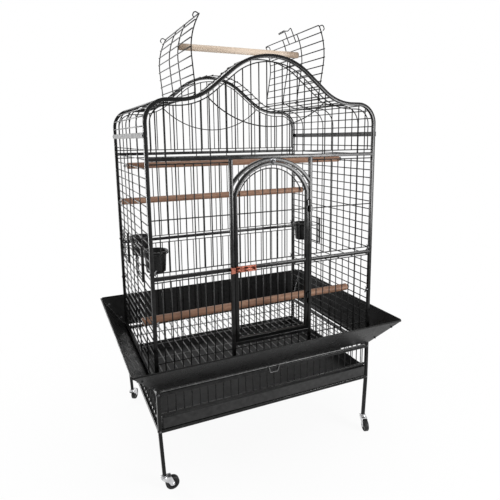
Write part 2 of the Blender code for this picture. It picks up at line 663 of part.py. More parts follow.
# Roof flaps, drawn shut on the dome line and then swung open about the hinge rods.
FLAP_STEPS = 9
RIB_Y = 0.063
FLAP_CORNER = 0.020
GRIP_HALF = 0.0300
GRIP_REACH = 0.046
GRIP_R = 0.0023
flap_start = HINGE_RUN + 0.0062
flap_end = HALF_RUN - 0.0112
for sx, lr, swing in ((-1, "left", OPEN_LEFT), (1, "right", OPEN_RIGHT)):
    knots = []
    for j in range(FLAP_STEPS + 1):
        x, z, nx, nz = dome_at(flap_start + (flap_end - flap_start) * j / FLAP_STEPS)
        knots.append(Vector((sx * x, 0, z)))
    near = knots[-2] + (knots[-1] - knots[-2]) * 0.35
    mid = knots[-2] + (knots[-1] - knots[-2]) * 0.80
    edge = []
    for k in knots[:-1] + [near]:
        edge.append((k.x, -HATCH_Y, k.z))
    edge.append((mid.x, -HATCH_Y + 0.006, mid.z))
    edge.append((knots[-1].x, -HATCH_Y + FLAP_CORNER, knots[-1].z))
    edge += [(x, -y, z) for x, y, z in reversed(edge)]
    tail = knots[-1] + (knots[-1] - knots[-2]).normalized() * 0.0009
    lift = Vector((-0.0008 * sx, 0, -0.0011))
    ribs = [bar([(k.x, y, k.z) for k in [k + lift for k in knots[:-1] + [tail]]], (0, 1, 0), WIRE_C)
            for y in (-RIB_Y, RIB_Y)]
    runners = []
    for j in range(FLAP_STEPS):
        a, b = knots[j], knots[j + 1]
        way = (b - a).normalized()
        normal = Vector((way.z, 0, -way.x)) * sx
        if normal.z < 0:
            normal = -normal
        spot = (a + b) / 2 + normal * LAP
        wide = HATCH_Y + 0.0006 if j < FLAP_STEPS - 1 else HATCH_Y - 0.001
        runners.append(bar([(spot.x, -wide, spot.z), (spot.x, wide, spot.z)], normal, WIRE_C))
    groups = [[bar(edge, (0, 1, 0), WIRE_C * 1.06)], ribs, runners]
    if sx > 0:
        tip = knots[-1]
        grip_way = (knots[-1] - knots[-2]).normalized()
        grip = []
        for y, out in ((-GRIP_HALF, 0.0007), (-GRIP_HALF + 0.0005, 0.030), (-0.012, GRIP_REACH),
                       (0.012, GRIP_REACH), (GRIP_HALF - 0.0005, 0.030), (GRIP_HALF, 0.0007)):
            spot = tip + grip_way * out
            grip.append((spot.x - 0.0004, y, spot.z - 0.0005))
        groups.append([bar(grip, (grip_way.z, 0.2, -grip_way.x), GRIP_R)])
    turn = Matrix.Translation((sx * HINGE_X, 0, HINGE_Z)) @ Matrix.Rotation(sx * swing, 4, "Y")
    turn = turn @ Matrix.Translation((-sx * HINGE_X, 0, -HINGE_Z))
    for group in groups:
        for i, (verts, faces) in enumerate(group):
            group[i] = ([turn @ Vector(v) for v in verts], faces)
    weld("flap_" + lr, groups, "black_coat", pivot=(sx * HINGE_X, 0, HINGE_Z))

# Front door: tube frame with an arched head, bars behind it, hinge halves and the bolt guides.
rise = DOOR_TOP - DOOR_SPRING
head_r = (DOOR_X ** 2 + rise ** 2) / (2 * rise)
head_c = DOOR_TOP - head_r
spread = atan2(DOOR_X, DOOR_SPRING - head_c)
outline = [(-DOOR_X, -HALF_D, DOOR_LOW)]
outline += [(head_r * sin(spread * t / 6), -HALF_D, head_c + head_r * cos(spread * t / 6))
            for t in range(-6, 7)]
outline.append((DOOR_X, -HALF_D, DOOR_LOW))
BOLT_Y = PIN_Y
BOLT_HALF = 0.0027
GUIDE_HALF = 0.007
GUIDE_LONG = 0.008
GUIDE_STARTS = (-DOOR_X + 0.0015, -DOOR_X + 0.0355)
door_rail = level(MID_RAIL, -DOOR_X, DOOR_X, half=DOOR_H)
swing_leaf = [block((DOOR_X - 0.004, PIN_Y, hz + PLAY), (PIN_X, DOOR_FACE + BITE, hz + KNUCKLE_LEN - PLAY))
              for hz in HINGES]
swing_pin = [knuckle(hz, hz + KNUCKLE_LEN - 2 * PLAY) for hz in HINGES]
guides = []
for x in GUIDE_STARTS:
    guides.append(block((x, BOLT_Y - 0.006, MID_RAIL - GUIDE_HALF),
                        (x + GUIDE_LONG, DOOR_FACE + BITE, MID_RAIL + GUIDE_HALF)))
door = weld("door_frame", [[bar(outline, OUT, DOOR_H, square=True, loop=True)], [door_rail], swing_leaf,
                           swing_pin, guides], "black_coat", pivot=(PIN_X, PIN_Y, DOOR_LOW))
hole = BOLT_HALF + 0.0004
cut(door, [block((-DOOR_X - 0.0025, BOLT_Y - hole, MID_RAIL - hole),
                 (-DOOR_X + 0.0475, BOLT_Y + hole, MID_RAIL + hole))])

DOOR_BAR_Y = HALF_D - DOOR_H - FIT - WIRE_C
HEAD_SHIFT = 0.018
door_bars = []
for i, x in enumerate(DOOR_BARS):
    top = head_c + sqrt(head_r ** 2 - x ** 2)
    y = -DOOR_BAR_Y + (NEAR if i in (2, 6) else 0.0)
    door_bars.append(bar([(x, y, DOOR_LOW - 0.001), (x, y, top)], OUT, WIRE_C))
door_levels = crossings((DOOR_LOW + 0.0125, MID_RAIL - RAIL_WIRE, MID_RAIL + RAIL_WIRE, THIN_RAIL),
                        -DOOR_X + 0.001, DOOR_X - 0.001, -DOOR_BAR_Y + CLEAR)
inner_head = []
for t in range(-6, 7):
    a = spread * 0.985 * t / 6
    inner_head.append(((head_r - HEAD_SHIFT) * sin(a), -DOOR_BAR_Y + LAP,
                       head_c + (head_r - HEAD_SHIFT) * cos(a)))
weld("door_bars", [door_bars, door_levels + [bar(inner_head, OUT, WIRE_C)]], "black_coat",
     pivot=(PIN_X, PIN_Y, DOOR_LOW))

# The copper bolt, drawn back so that its tip is inside the door, and its keeper on the jamb.
KNOB_HALF = 0.006
KEEPER_HALF = 0.011
KEEPER_X = (-JAMB_X - 0.0125, -JAMB_X + 0.004)
bolt = [block((-DOOR_X - 0.003, BOLT_Y - BOLT_HALF, MID_RAIL - BOLT_HALF),
              (-DOOR_X + 0.0675, BOLT_Y + BOLT_HALF, MID_RAIL + BOLT_HALF))]
knob = [block((-DOOR_X + 0.0615, BOLT_Y - 0.0130, MID_RAIL - KNOB_HALF),
              (-DOOR_X + 0.0695, BOLT_Y + 0.0022, MID_RAIL + KNOB_HALF))]
weld("door_bolt", [bolt, knob], "copper")
keeper = make("bolt_keeper", [block((KEEPER_X[0], BOLT_Y - 0.007, MID_RAIL - KEEPER_HALF),
                                    (KEEPER_X[1], TUBE_FACE - BITE, MID_RAIL + KEEPER_HALF))], "copper")
slot = BOLT_HALF + 0.0015
cut(keeper, [block((KEEPER_X[0] - 0.01, BOLT_Y - slot, MID_RAIL - slot),
                   (KEEPER_X[1] + 0.01, TUBE_FACE + 0.01, MID_RAIL + slot))])

# Perches.
PERCH_END = HALF_W - CLEAR - WIRE_C - 0.0008


def perch(name, y0, z0, y1, z1, radius, material, x0=-PERCH_END, x1=PERCH_END):
    back = radius * sqrt((y1 - y0) ** 2 + (z1 - z0) ** 2) / (x1 - x0)
    a, b = Vector((x0 + back, y0, z0)), Vector((x1 - back, y1, z1))
    long = (b - a).length
    bevel = radius * 0.18
    profile = ((0, 0), (radius - bevel, 0), (radius, bevel), (radius, long - bevel),
               (radius - bevel, long), (0, long))
    make(name, [turned(profile, 14, a, b - a)], material, smooth=True)


perch("perch_upper", 0.084, UPPER_RAIL - 0.039, -0.096, UPPER_RAIL - 0.028, 0.0100, "dark_wood")
perch("perch_back", HALF_D - 0.053, THIN_RAIL - 0.004, HALF_D - 0.094, THIN_RAIL + 0.005,
      0.0120, "dark_wood")
perch("perch_low", -0.065, SILL_Z + 0.042, -0.174, SILL_Z + 0.089, 0.0150, "dark_wood")


def flap_inside(sx, swing, z):
    """Where the inner face of an open flap stands at a given height."""
    best = None
    for i in range(200):
        x, pz, nx, nz = dome_at(flap_start + (flap_end - flap_start) * i / 199)
        spot = Vector((sx * (x - HINGE_X), 0, pz - HINGE_Z))
        spot = Matrix.Rotation(sx * swing, 3, "Y") @ spot
        here = spot.z + HINGE_Z
        if best is None or abs(here - z) < best[0]:
            best = (abs(here - z), spot.x + sx * HINGE_X)
    return best[1]


TOP_Z = PEAK_Z + 0.062
TOP_Y = -0.040
END_GAP = 0.0022
left_end = flap_inside(-1, OPEN_LEFT, TOP_Z) + WIRE_C * 1.3 + END_GAP
right_end = flap_inside(1, OPEN_RIGHT, TOP_Z) - WIRE_C * 1.3 - END_GAP
perch("perch_top", TOP_Y, TOP_Z, TOP_Y, TOP_Z, 0.0125, "pale_wood", left_end, right_end)

# Sloping seed skirt: four sheets with a rolled outer edge, mitred at the corners.
SHEET = 0.0014
ROLL = 0.0030
FLANGE = 0.011
slope_len = sqrt(SKIRT_REACH ** 2 + SKIRT_RISE ** 2)
su, sz = SKIRT_REACH / slope_len, SKIRT_RISE / slope_len
section = [(0.0, 0.0), (SHEET, 0.0)]
end_u, end_z = SKIRT_REACH - su * ROLL, SKIRT_RISE - sz * ROLL
section.append((end_u + sz * SHEET, end_z - su * SHEET))
for k in range(5):
    a = atan2(sz, su) - pi / 2 + pi * k / 4
    section.append((SKIRT_REACH + ROLL * cos(a), SKIRT_RISE + ROLL * sin(a)))
section.append((end_u, end_z))
section.append((SHEET * 0.9, SHEET * 2.2))
section.append((SHEET * 0.9, FLANGE))
section.append((0.0, FLANGE))
IN_X = HALF_W + TUBE_H + FIT
IN_Y = HALF_D + TUBE_H + FIT
for name, wide, deep, angle in (("skirt_front", IN_X, IN_Y, 0), ("skirt_right", IN_Y, IN_X, 90),
                                ("skirt_back", IN_X, IN_Y, 180), ("skirt_left", IN_Y, IN_X, 270)):
    verts = []
    for s in (-1, 1):
        for u, z in section:
            verts.append(Vector((s * (wide + u - FIT), -(deep + u), SKIRT_LOW + z)))
    n = len(section)
    faces = [(k, (k + 1) % n, n + (k + 1) % n, n + k) for k in range(n)]
    faces.append(tuple(range(n)))
    faces.append(tuple(reversed(range(n, 2 * n))))
    turn = Matrix.Rotation(radians(angle), 4, "Z")
    make(name, [([turn @ v for v in verts], faces)], "grey_coat")

# Base legs, bent slightly inwards below the base.
leg_foot_x = HALF_W - LEAN
for lr, sx in (("left", -1), ("right", 1)):
    for fb, sy in (("front", -1), ("back", 1)):
        make("leg_%s_%s" % (fb, lr),
             [bar([(sx * leg_foot_x, sy * HALF_D, LEG_FOOT), (sx * HALF_W, sy * HALF_D, BASE_LOW),
                   (sx * HALF_W, sy * HALF_D, BASE_TOP)], OUT, TUBE_H, square=True)], "black_coat")

# Base panels.
TOP_C = BASE_TOP - TUBE_H
LOW_C = BASE_LOW + TUBE_H
SLOT_HALF = 0.004
SLOT_C = SLOT_TOP + SLOT_HALF
grille_count = int(HALF_W / BASE_PITCH)
front_grille = [0.005 + BASE_PITCH * k for k in range(-grille_count, grille_count + 1)]
front_grille = [x for x in front_grille if abs(x) < HALF_W - 0.012]


def base_bars(xs, z0, z1, y):
    """Grille bars set into the top rail. Every twelfth one runs into the lower rail as well."""
    return [bar([(x, y, z0 - 0.004 if i % 12 == 2 else z0 + FIT), (x, y, z1)], OUT, WIRE_C)
            for i, x in enumerate(xs)]


weld("base_front", [[level(TOP_C, -POST_IN_X, POST_IN_X),
                     bar([(-POST_IN_X, -HALF_D, SLOT_C), (POST_IN_X, -HALF_D, SLOT_C)], UP, SLOT_HALF,
                         square=True)],
                    base_bars(front_grille, SLOT_C + SLOT_HALF, TOP_C, -HALF_D)], "black_coat")
weld("base_back", [[level(TOP_C, -POST_IN_X, POST_IN_X, HALF_D), level(LOW_C, -POST_IN_X, POST_IN_X, HALF_D)],
                   base_bars(front_grille, LOW_C + TUBE_H, TOP_C, HALF_D)], "black_coat")
side_count = int(2 * (HALF_D - 0.039) / BASE_PITCH) + 1
side_grille = [0.039 - HALF_D + BASE_PITCH * k for k in range(side_count)]
for sx, lr in ((-1, "left"), (1, "right")):
    x = sx * HALF_W
    pair = [bar([(x, -POST_IN_Y, z), (x, POST_IN_Y, z)], UP, TUBE_H, square=True) for z in (TOP_C, LOW_C)]
    foot = LOW_C + TUBE_H
    sticks = [bar([(x, y, foot - 0.004 if i % 12 == 3 else foot + FIT), (x, y, TOP_C)], WALL, WIRE_C)
              for i, y in enumerate(side_grille)]
    weld("base_" + lr, [pair, sticks], "black_coat")

# The front bottom rail with two flat runners that carry the tray.
RUNNER_IN = HALF_W - 0.032
RUNNER_OUT = HALF_W - 0.0085
runners = [block((x, -HALF_D, BASE_LOW + TUBE - 0.0030),
                 (x + RUNNER_OUT - RUNNER_IN, POST_IN_Y, BASE_LOW + TUBE + 0.0012))
           for x in (-RUNNER_OUT, RUNNER_IN)]
weld("tray_runners", [[level(LOW_C, -POST_IN_X, POST_IN_X)], runners], "black_coat")

# The waste tray: a shallow open box that slides out at the front.
TRAY_X = HALF_W - 0.010
TRAY_FRONT = -(HALF_D + 0.0075)
TRAY_BACK = HALF_D - 0.009
TRAY_WALL = 0.0015
tray = make("tray", [block((-TRAY_X, TRAY_FRONT, TRAY_LOW), (TRAY_X, TRAY_BACK, TRAY_TOP))], "black_coat")
cut(tray, [block((-TRAY_X + TRAY_WALL, TRAY_FRONT + TRAY_WALL, TRAY_LOW + TRAY_WALL),
                 (TRAY_X - TRAY_WALL, TRAY_BACK - TRAY_WALL, TRAY_TOP + 0.01))])

# The floor grate: wires from front to back on cross wires, with a pull loop at the front.
GRATE_R = 0.0021
GRATE_LOW = BASE_TOP + 0.0004 + GRATE_R
GRATE_HIGH = GRATE_LOW + 2 * GRATE_R - 0.0006
GRATE_SINK = 0.0009               # how much lower the tie wires lie, to be welded to the others
GRATE_PITCH = 0.0285
GRATE_FRONT = -(HALF_D + 0.0015)
GRATE_BACK = HALF_D - 0.012
GRATE_END = 0.004
CROSS_X = HALF_W - 0.009
LONG_X = HALF_W - 0.0195
PULL_Y = GRATE_FRONT - 0.009
PULL_TOP = 0.0215
PULL_FOOT = 0.0160
PULL_LOW = BASE_TOP - 0.018
PULL_R = 0.0018
grate_steps = round(2 * LONG_X / GRATE_PITCH)
grate_x = [-LONG_X + 2 * LONG_X * k / grate_steps for k in range(grate_steps + 1)]
grate_y = [GRATE_FRONT] + [HALF_D * share for share in (-0.6, -0.2, 0.2, 0.6)] + [GRATE_BACK]
long_wires = []
for i, x in enumerate(grate_x):
    z = GRATE_HIGH - GRATE_SINK if i in (6, grate_steps - 6) else GRATE_HIGH
    long_wires.append(bar([(x, GRATE_FRONT - GRATE_END, z), (x, GRATE_BACK + GRATE_END, z)], UP, GRATE_R))
cross_wires = []
for i, y in enumerate(grate_y):
    z = GRATE_LOW if i == 0 else GRATE_LOW - GRATE_SINK
    cross_wires.append(bar([(-CROSS_X, y, z), (CROSS_X, y, z)], UP, GRATE_R))
pull = bar([(-PULL_TOP, GRATE_FRONT, GRATE_LOW), (-PULL_TOP, PULL_Y, GRATE_LOW), (-PULL_FOOT, PULL_Y, PULL_LOW),
            (PULL_FOOT, PULL_Y, PULL_LOW), (PULL_TOP, PULL_Y, GRATE_LOW), (PULL_TOP, GRATE_FRONT, GRATE_LOW)],
           (1, 0, 0.1), PULL_R)
weld("floor_grate", [cross_wires, long_wires, [pull]], "pale_wire")

# Castors: a swivelling fork with its stem, and a wheel that spins on the fork's axle.
FORK_GAP = WHEEL_HALF + 0.0010
FORK_OUT = FORK_GAP + 0.0020
CROWN_LOW = LEG_FOOT - 0.0090
CROWN_BACK = -0.013
CROWN_AHEAD = TRAIL - 0.004
STEM_LOW = LEG_FOOT - 0.0060
STEM_R = 0.0085
STEM_LEN = 0.0052
AXLE_R = 0.0040
AXLE_HALF = FORK_OUT - 0.0005
BORE_R = AXLE_R + 0.0004
WHEEL_STEPS = 18
for tag, sx, sy, heading in CASTERS:
    turn = Matrix.Translation((sx * leg_foot_x, sy * HALF_D, 0)) @ Matrix.Rotation(radians(heading), 4, "Z")
    crown = block((CROWN_BACK, -FORK_OUT, CROWN_LOW), (CROWN_AHEAD, FORK_OUT, CROWN_LOW + 0.0032))
    stem = turned(((0, 0), (STEM_R, 0), (STEM_R, STEM_LEN), (0, STEM_LEN)), 14, (0, 0, STEM_LOW))
    cheeks = []
    for s in (-1, 1):
        y0, y1 = sorted((s * FORK_GAP, s * FORK_OUT))
        plate = [(TRAIL - 0.007, WHEEL_R - 0.006), (TRAIL + 0.006, WHEEL_R - 0.006),
                 (CROWN_AHEAD, CROWN_LOW + 0.001), (CROWN_BACK + 0.0005, CROWN_LOW + 0.001)]
        verts = [Vector((x, y, z)) for y in (y0, y1) for x, z in plate]
        faces = [(0, 1, 2, 3), (7, 6, 5, 4)] + [(k, (k + 1) % 4, 4 + (k + 1) % 4, 4 + k) for k in range(4)]
        cheeks.append((verts, faces))
    axle = turned(((0, 0), (AXLE_R, 0), (AXLE_R, 2 * AXLE_HALF), (0, 2 * AXLE_HALF)), 12,
                  (TRAIL, -AXLE_HALF, WHEEL_R), (0, 1, 0))
    groups = [[crown], [stem], cheeks, [axle]]
    for group in groups:
        for i, (verts, faces) in enumerate(group):
            group[i] = ([turn @ Vector(v) for v in verts], faces)
    weld("caster_fork_" + tag, groups, "chrome", pivot=(sx * leg_foot_x, sy * HALF_D, LEG_FOOT))
    flat = WHEEL_R / cos(pi / WHEEL_STEPS)
    ring = ((BORE_R, -WHEEL_HALF), (flat, -WHEEL_HALF), (flat, WHEEL_HALF), (BORE_R, WHEEL_HALF))
    verts, faces = turned(ring, WHEEL_STEPS, (TRAIL, 0, WHEEL_R), (0, 1, 0))
    make("caster_wheel_" + tag, [([turn @ v for v in verts], faces)], "rubber",
         pivot=turn @ Vector((TRAIL, 0, WHEEL_R)), smooth=True)
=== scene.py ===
from math import atan2, cos, pi, radians, sin, sqrt, tan

import bmesh
import bpy
from mathutils import Matrix, Vector


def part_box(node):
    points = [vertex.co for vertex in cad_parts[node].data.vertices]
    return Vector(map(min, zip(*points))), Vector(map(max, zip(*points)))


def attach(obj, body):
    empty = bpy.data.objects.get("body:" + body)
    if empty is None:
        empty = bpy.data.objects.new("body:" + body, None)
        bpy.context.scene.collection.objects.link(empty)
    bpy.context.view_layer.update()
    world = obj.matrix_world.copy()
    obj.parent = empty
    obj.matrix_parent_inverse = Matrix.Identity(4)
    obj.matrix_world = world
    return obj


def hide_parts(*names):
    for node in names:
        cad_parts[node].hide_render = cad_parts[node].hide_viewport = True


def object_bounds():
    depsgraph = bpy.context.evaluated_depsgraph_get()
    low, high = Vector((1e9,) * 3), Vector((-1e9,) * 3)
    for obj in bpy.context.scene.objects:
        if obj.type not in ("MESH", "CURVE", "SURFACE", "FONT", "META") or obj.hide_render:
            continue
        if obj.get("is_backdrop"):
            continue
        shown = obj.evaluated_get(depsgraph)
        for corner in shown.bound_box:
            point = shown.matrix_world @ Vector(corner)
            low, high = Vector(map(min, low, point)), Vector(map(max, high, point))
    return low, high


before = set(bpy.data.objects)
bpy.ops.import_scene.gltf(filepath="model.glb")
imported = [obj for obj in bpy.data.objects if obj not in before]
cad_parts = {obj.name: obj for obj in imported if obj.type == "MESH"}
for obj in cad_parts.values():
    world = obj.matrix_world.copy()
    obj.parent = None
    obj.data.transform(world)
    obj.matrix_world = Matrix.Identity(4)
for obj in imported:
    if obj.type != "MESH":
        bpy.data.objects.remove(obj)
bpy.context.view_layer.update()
scene = bpy.context.scene

# Half sizes of the cage body, of its tubes and of the door's tube, and the gap between neighbours.
HALF_W = 0.447
HALF_D = 0.324
TUBE_H = 0.00635
DOOR_H = 0.0067
FIT = 0.0003

# Wires: the radius here and in the solids, the step between the centres of crossing wires, and the
# places of the border wires beside the rails and inside the arches.
WIRE = 0.0021
WIRE_C = 0.00238
CROSSING = WIRE * 1.75
RAIL_WIRE = 0.0168
INNER_SHIFT = 0.0175

# Heights, from the floor up.
LEG_FOOT = 0.062
BASE_LOW = 0.231
TRAY_LOW = 0.247
TRAY_TOP = 0.288
SLOT_TOP = 0.295
BASE_TOP = 0.384
BODY_LOW = 0.396
SILL_Z = 0.508
DOOR_LOW = 0.522
MID_RAIL = 0.792
THIN_RAIL = 0.989
UPPER_RAIL = 1.19
STRAP_Z = 1.265
PEAK_Z = 1.5349

# Rows of bars. Those marked as through run past the upper rail to the arch.
BAR_PITCH = 0.0304
FIRST_BAR = -0.4128
THROUGH_BARS = (0, 1, 6, 11, 16, 21, 26, 27)
SIDE_LOW_WIRE = 0.4305
SIDE_PITCH = 0.0316
SIDE_UPRIGHTS = {-1: (-0.178, -0.047, 0.03, 0.205), 1: (-0.223, -0.04, 0.043, 0.226)}
BASE_PITCH = 0.03
DOOR_BARS = [-0.1245 + 0.0302 * k for k in range(9)]

# The dome line and its hatch.
SHOULDER_R = 0.075
SHOULDER_Z = 1.305
FLAT_X = 0.34
VALLEY_R = 0.19
CROWN_R = 0.23
SLOPE = radians(39)
SLOPE_LEN = 0.0974
HINGE_X = 0.25
HATCH_Y = 0.233
OPEN_LEFT = radians(56)
OPEN_RIGHT = radians(60.5)

# The door, its arch and its hinges.
JAMB_X = 0.16
JAMB_SPRING, JAMB_TOP = 1.09, 1.18
DOOR_X = 0.1455
DOOR_SPRING, DOOR_TOP = 1.06, 1.166
PIN_X, PIN_Y = 0.153, -0.3355
HINGES = (0.64, 1.003)
KNUCKLE_LEN = 0.022
KNUCKLE_GAP = 0.0008

# The seed skirt.
SKIRT_REACH = 0.092
SKIRT_LOW = 0.3965
SKIRT_HIGH = 0.509

# Feeding places: name, side and depth, then the cup, its ring and the opening in the wall.
FEEDERS = (("left_front", -1, -0.125), ("left_back", -1, 0.17), ("right", 1, 0.125))
CUP_X = 0.3905
CUP_LOW = 0.765
CUP_LIP = 0.0738
RING_R = 0.0465
OPENING = 0.05
OPEN_LOW = SIDE_LOW_WIRE + 10 * SIDE_PITCH
OPEN_HIGH = SIDE_LOW_WIRE + 14 * SIDE_PITCH

# Legs and castors. Each castor has its corner and its heading in degrees.
LEAN = 0.008
WHEEL_R = 0.025
TRAIL = 0.028
CASTERS = (("front_left", -1, -1, 0), ("front_right", 1, -1, 254),
           ("back_left", -1, 1, 60), ("back_right", 1, 1, 75))

UP = (0, 0, 1)
OUT = (0, -1, 0)
BACK = (0, 1, 0)
WALL = (1, 0, 0)
SIDES = ((-1, "left"), (1, "right"))
ENDS = ((-1, "front"), (1, "back"))
CORNERS = [(sx * HALF_W, sy * HALF_D, sx, sy, fb + "_" + lr) for sx, lr in SIDES for sy, fb in ENDS]

# The camera of the photograph: its place, its turn, and its focal length and centre in pixels.
CAMERA_AT = (-0.7519, -1.8342, 1.2552)
YAW, PITCH, ROLL = 0.43294, -0.17111, -0.00965
FOCAL, CENTRE_X, CENTRE_Y = 466.98, 258.9, 218.8
FRAME = 500
SENSOR = 36
ahead = Vector((sin(YAW) * cos(PITCH), cos(YAW) * cos(PITCH), sin(PITCH)))
right = Vector((cos(YAW), -sin(YAW), 0))
above = right.cross(ahead)
across = right * cos(ROLL) + above * sin(ROLL)
upward = above * cos(ROLL) - right * sin(ROLL)
view = bpy.data.cameras.new("camera")
view.sensor_width = SENSOR
view.lens = FOCAL / FRAME * SENSOR
view.shift_x = (FRAME / 2 - CENTRE_X) / FRAME
view.shift_y = (CENTRE_Y - FRAME / 2) / FRAME
camera = bpy.data.objects.new("camera", view)
rows = [(across[k], upward[k], -ahead[k], CAMERA_AT[k]) for k in range(3)]
camera.matrix_world = Matrix(rows + [(0, 0, 0, 1)])
scene.collection.objects.link(camera)
scene.camera = camera


def node(tree, kind, sockets=(), **values):
    """A shader node. A socket that is given another socket is linked, and any other is set."""
    made = tree.nodes.new("ShaderNode" + kind)
    for key, value in values.items():
        setattr(made, key, value)
    for key, value in dict(sockets).items():
        if hasattr(value, "is_linked"):
            tree.links.new(value, made.inputs[key])
        else:
            made.inputs[key].default_value = value
    return made


# Materials.
class Look:
    """A Principled material that is built up in steps, in the object's own coordinates."""

    def __init__(self, name, rough, metal=0, specular=0.5):
        self.material = bpy.data.materials.new(name)
        self.material.use_nodes = True
        self.tree = self.material.node_tree
        self.sockets = self.tree.nodes["Principled BSDF"].inputs
        self.sockets["Roughness"].default_value = rough
        self.sockets["Metallic"].default_value = metal
        self.sockets["Specular IOR Level"].default_value = specular
        self.place = node(self.tree, "TexCoord").outputs["Object"]
        self.relief = {}

    def noise(self, scale, detail=2, stretch=None, distortion=0):
        """Noise from 0 to 1. A stretch scales the three axes first."""
        place = self.place
        if stretch:
            place = node(self.tree, "Mapping", {"Vector": place, "Scale": stretch}).outputs["Vector"]
        sockets = {"Vector": place, "Scale": scale, "Detail": detail, "Distortion": distortion}
        return node(self.tree, "TexNoise", sockets).outputs["Fac"]

    def spread(self, value, low=0, high=1, from_low=0.3, from_high=0.7):
        """The value, stretched from one range to another."""
        sockets = {"Value": value, "From Min": from_low, "From Max": from_high, "To Min": low, "To Max": high}
        return node(self.tree, "MapRange", sockets).outputs["Result"]

    def blend(self, factor, one, two):
        """A mix of two colours."""
        return node(self.tree, "Mix", {0: factor, 6: one, 7: two}, data_type="RGBA").outputs[2]

    def colour(self, value):
        self.tree.links.new(value, self.sockets["Base Color"])

    def rough(self, value):
        self.tree.links.new(value, self.sockets["Roughness"])

    def bump(self, height, strength, distance):
        """Relief on top of any relief set before."""
        sockets = {"Height": height, "Strength": strength, "Distance": distance, **self.relief}
        self.relief = {"Normal": node(self.tree, "Bump", sockets).outputs["Normal"]}
        self.tree.links.new(self.relief["Normal"], self.sockets["Normal"])

    def edges(self, low=0.53, high=0.62):
        """From 0 on flat faces to 1 on outer edges."""
        return self.spread(node(self.tree, "NewGeometry").outputs["Pointiness"], 0, 1, low, high)


# How far from the middle of a perch the painted shade at its ends starts and is full.
END_SHADE_FROM = 0.19
END_SHADE_FULL = 0.225


def shade(grey):
    return (grey, grey, grey, 1)


def coat(name, dark, light, rough, specular, worn, peel=0.12):
    """Powder coat: cloudy tone, fine orange peel, and a paler rub along the edges."""
    look = Look(name, rough, 0, specular)
    cloud = look.spread(look.noise(7, 4))
    base = look.blend(cloud, shade(dark), shade(light))
    patches = look.spread(look.noise(60, 3), 0, 0.55)
    rub = node(look.tree, "Math", {0: look.edges(), 1: patches}, operation="MULTIPLY")
    look.colour(look.blend(rub.outputs[0], base, shade(worn)))
    look.rough(look.spread(look.noise(38, 3), rough - 0.05, rough + 0.07))
    look.bump(look.noise(900), peel, 0.00025)
    return look.material


def timber(name, pale, deep, vein, rough, end_shade=None):
    """Turned wood with its grain along X: growth bands, fine fibres, pores and blotches.

    A last colour, given as painted shade, takes over towards the two ends.
    """
    look = Look(name, rough, 0, 0.3)
    bands = look.spread(look.noise(1, 3, (5, 70, 70), 1.2), 0, 1, 0.35, 0.65)
    base = look.blend(bands, pale, deep)
    fibres = look.noise(1, 4, (18, 900, 900))
    base = look.blend(look.spread(fibres, 0, 0.6, 0.45, 0.75), base, vein)
    blotch = look.spread(look.noise(1, 2, (9, 22, 22)), 0, 0.75, 0.4, 0.75)
    base = look.blend(blotch, base, deep)
    pores = look.spread(look.noise(1, 2, (60, 1500, 1500)), 0, 0.7, 0.62, 0.72)
    base = look.blend(pores, base, vein)
    # Painted shade: the colour darkens towards both ends of the perch.
    if end_shade:
        along = node(look.tree, "SeparateXYZ", {0: look.place}).outputs["X"]
        along = node(look.tree, "Math", {0: along}, operation="ABSOLUTE").outputs[0]
        shaded_ends = look.spread(along, 0, 0.75, END_SHADE_FROM, END_SHADE_FULL)
        base = look.blend(shaded_ends, base, end_shade)
    look.colour(base)
    look.rough(look.spread(fibres, rough - 0.08, rough + 0.1))
    look.bump(fibres, 0.35, 0.0004)
    look.bump(bands, 0.2, 0.0005)
    return look.material


def metal(name, colour, dull, rough):
    """Plated steel with fine scratches and dull patches."""
    look = Look(name, rough, 1)
    patch = look.spread(look.noise(90, 3))
    look.colour(look.blend(patch, colour, dull))
    look.rough(look.spread(look.noise(150), rough - 0.05, rough + 0.12))
    look.bump(look.noise(400), 0.1, 0.0002)
    return look.material


def moulded(name, dark, light, rough, fine, depth):
    """Moulded plastic or rubber with a fine texture."""
    look = Look(name, rough, 0, 0.2)
    look.colour(look.blend(look.spread(look.noise(25, 3)), shade(dark), shade(light)))
    look.rough(look.spread(look.noise(60), rough - 0.05, rough + 0.08))
    look.bump(look.noise(fine, 2), depth, 0.0003)
    return look.material


TUBE_COAT = coat("tube_coat", 0.0026, 0.0044, 0.18, 0.17, 0.022)
WIRE_COAT = coat("wire_coat", 0.0028, 0.0048, 0.3, 0.15, 0.022, 0.08)
SHEET_COAT = coat("sheet_coat", 0.003, 0.005, 0.28, 0.1, 0.022, 0.15)
TRAY_COAT = coat("tray_coat", 0.014, 0.022, 0.42, 0.1, 0.05, 0.15)
STRAP_COAT = coat("strap_coat", 0.045, 0.075, 0.48, 0.12, 0.15)
# The grate's grey base is painted sheen: its wires are black.
GRATE_SHEEN_COAT = coat("grate_sheen_coat", 0.06, 0.09, 0.33, 0.45, 0.2, 0.06)
DARK_WOOD = timber("dark_wood", (0.36, 0.21, 0.135, 1), (0.215, 0.112, 0.07, 1), (0.09, 0.042, 0.028, 1),
                   0.5)
# The last colour of the pale wood is painted shade at the ends of the top perch.
PALE_WOOD = timber("pale_wood", (0.7, 0.6, 0.5, 1), (0.55, 0.44, 0.34, 1), (0.34, 0.25, 0.18, 1), 0.6,
                   (0.22, 0.155, 0.105, 1))
COPPER = metal("copper", (0.32, 0.12, 0.082, 1), (0.15, 0.05, 0.036, 1), 0.3)
ZINC = metal("zinc", (0.66, 0.66, 0.67, 1), (0.45, 0.45, 0.46, 1), 0.24)
STEEL = metal("dark_steel", (0.1, 0.1, 0.105, 1), (0.05, 0.05, 0.05, 1), 0.34)
PLASTIC = moulded("cup_plastic", 0.004, 0.007, 0.22, 500, 0.06)
RUBBER = moulded("wheel_rubber", 0.01, 0.017, 0.5, 700, 0.15)


# Shapes. Each is a pair of corner points and faces.
def round_section(radius, steps=10):
    turns = [2 * pi * (k + 0.5) / steps for k in range(steps)]
    return [(radius * cos(a), radius * sin(a)) for a in turns]


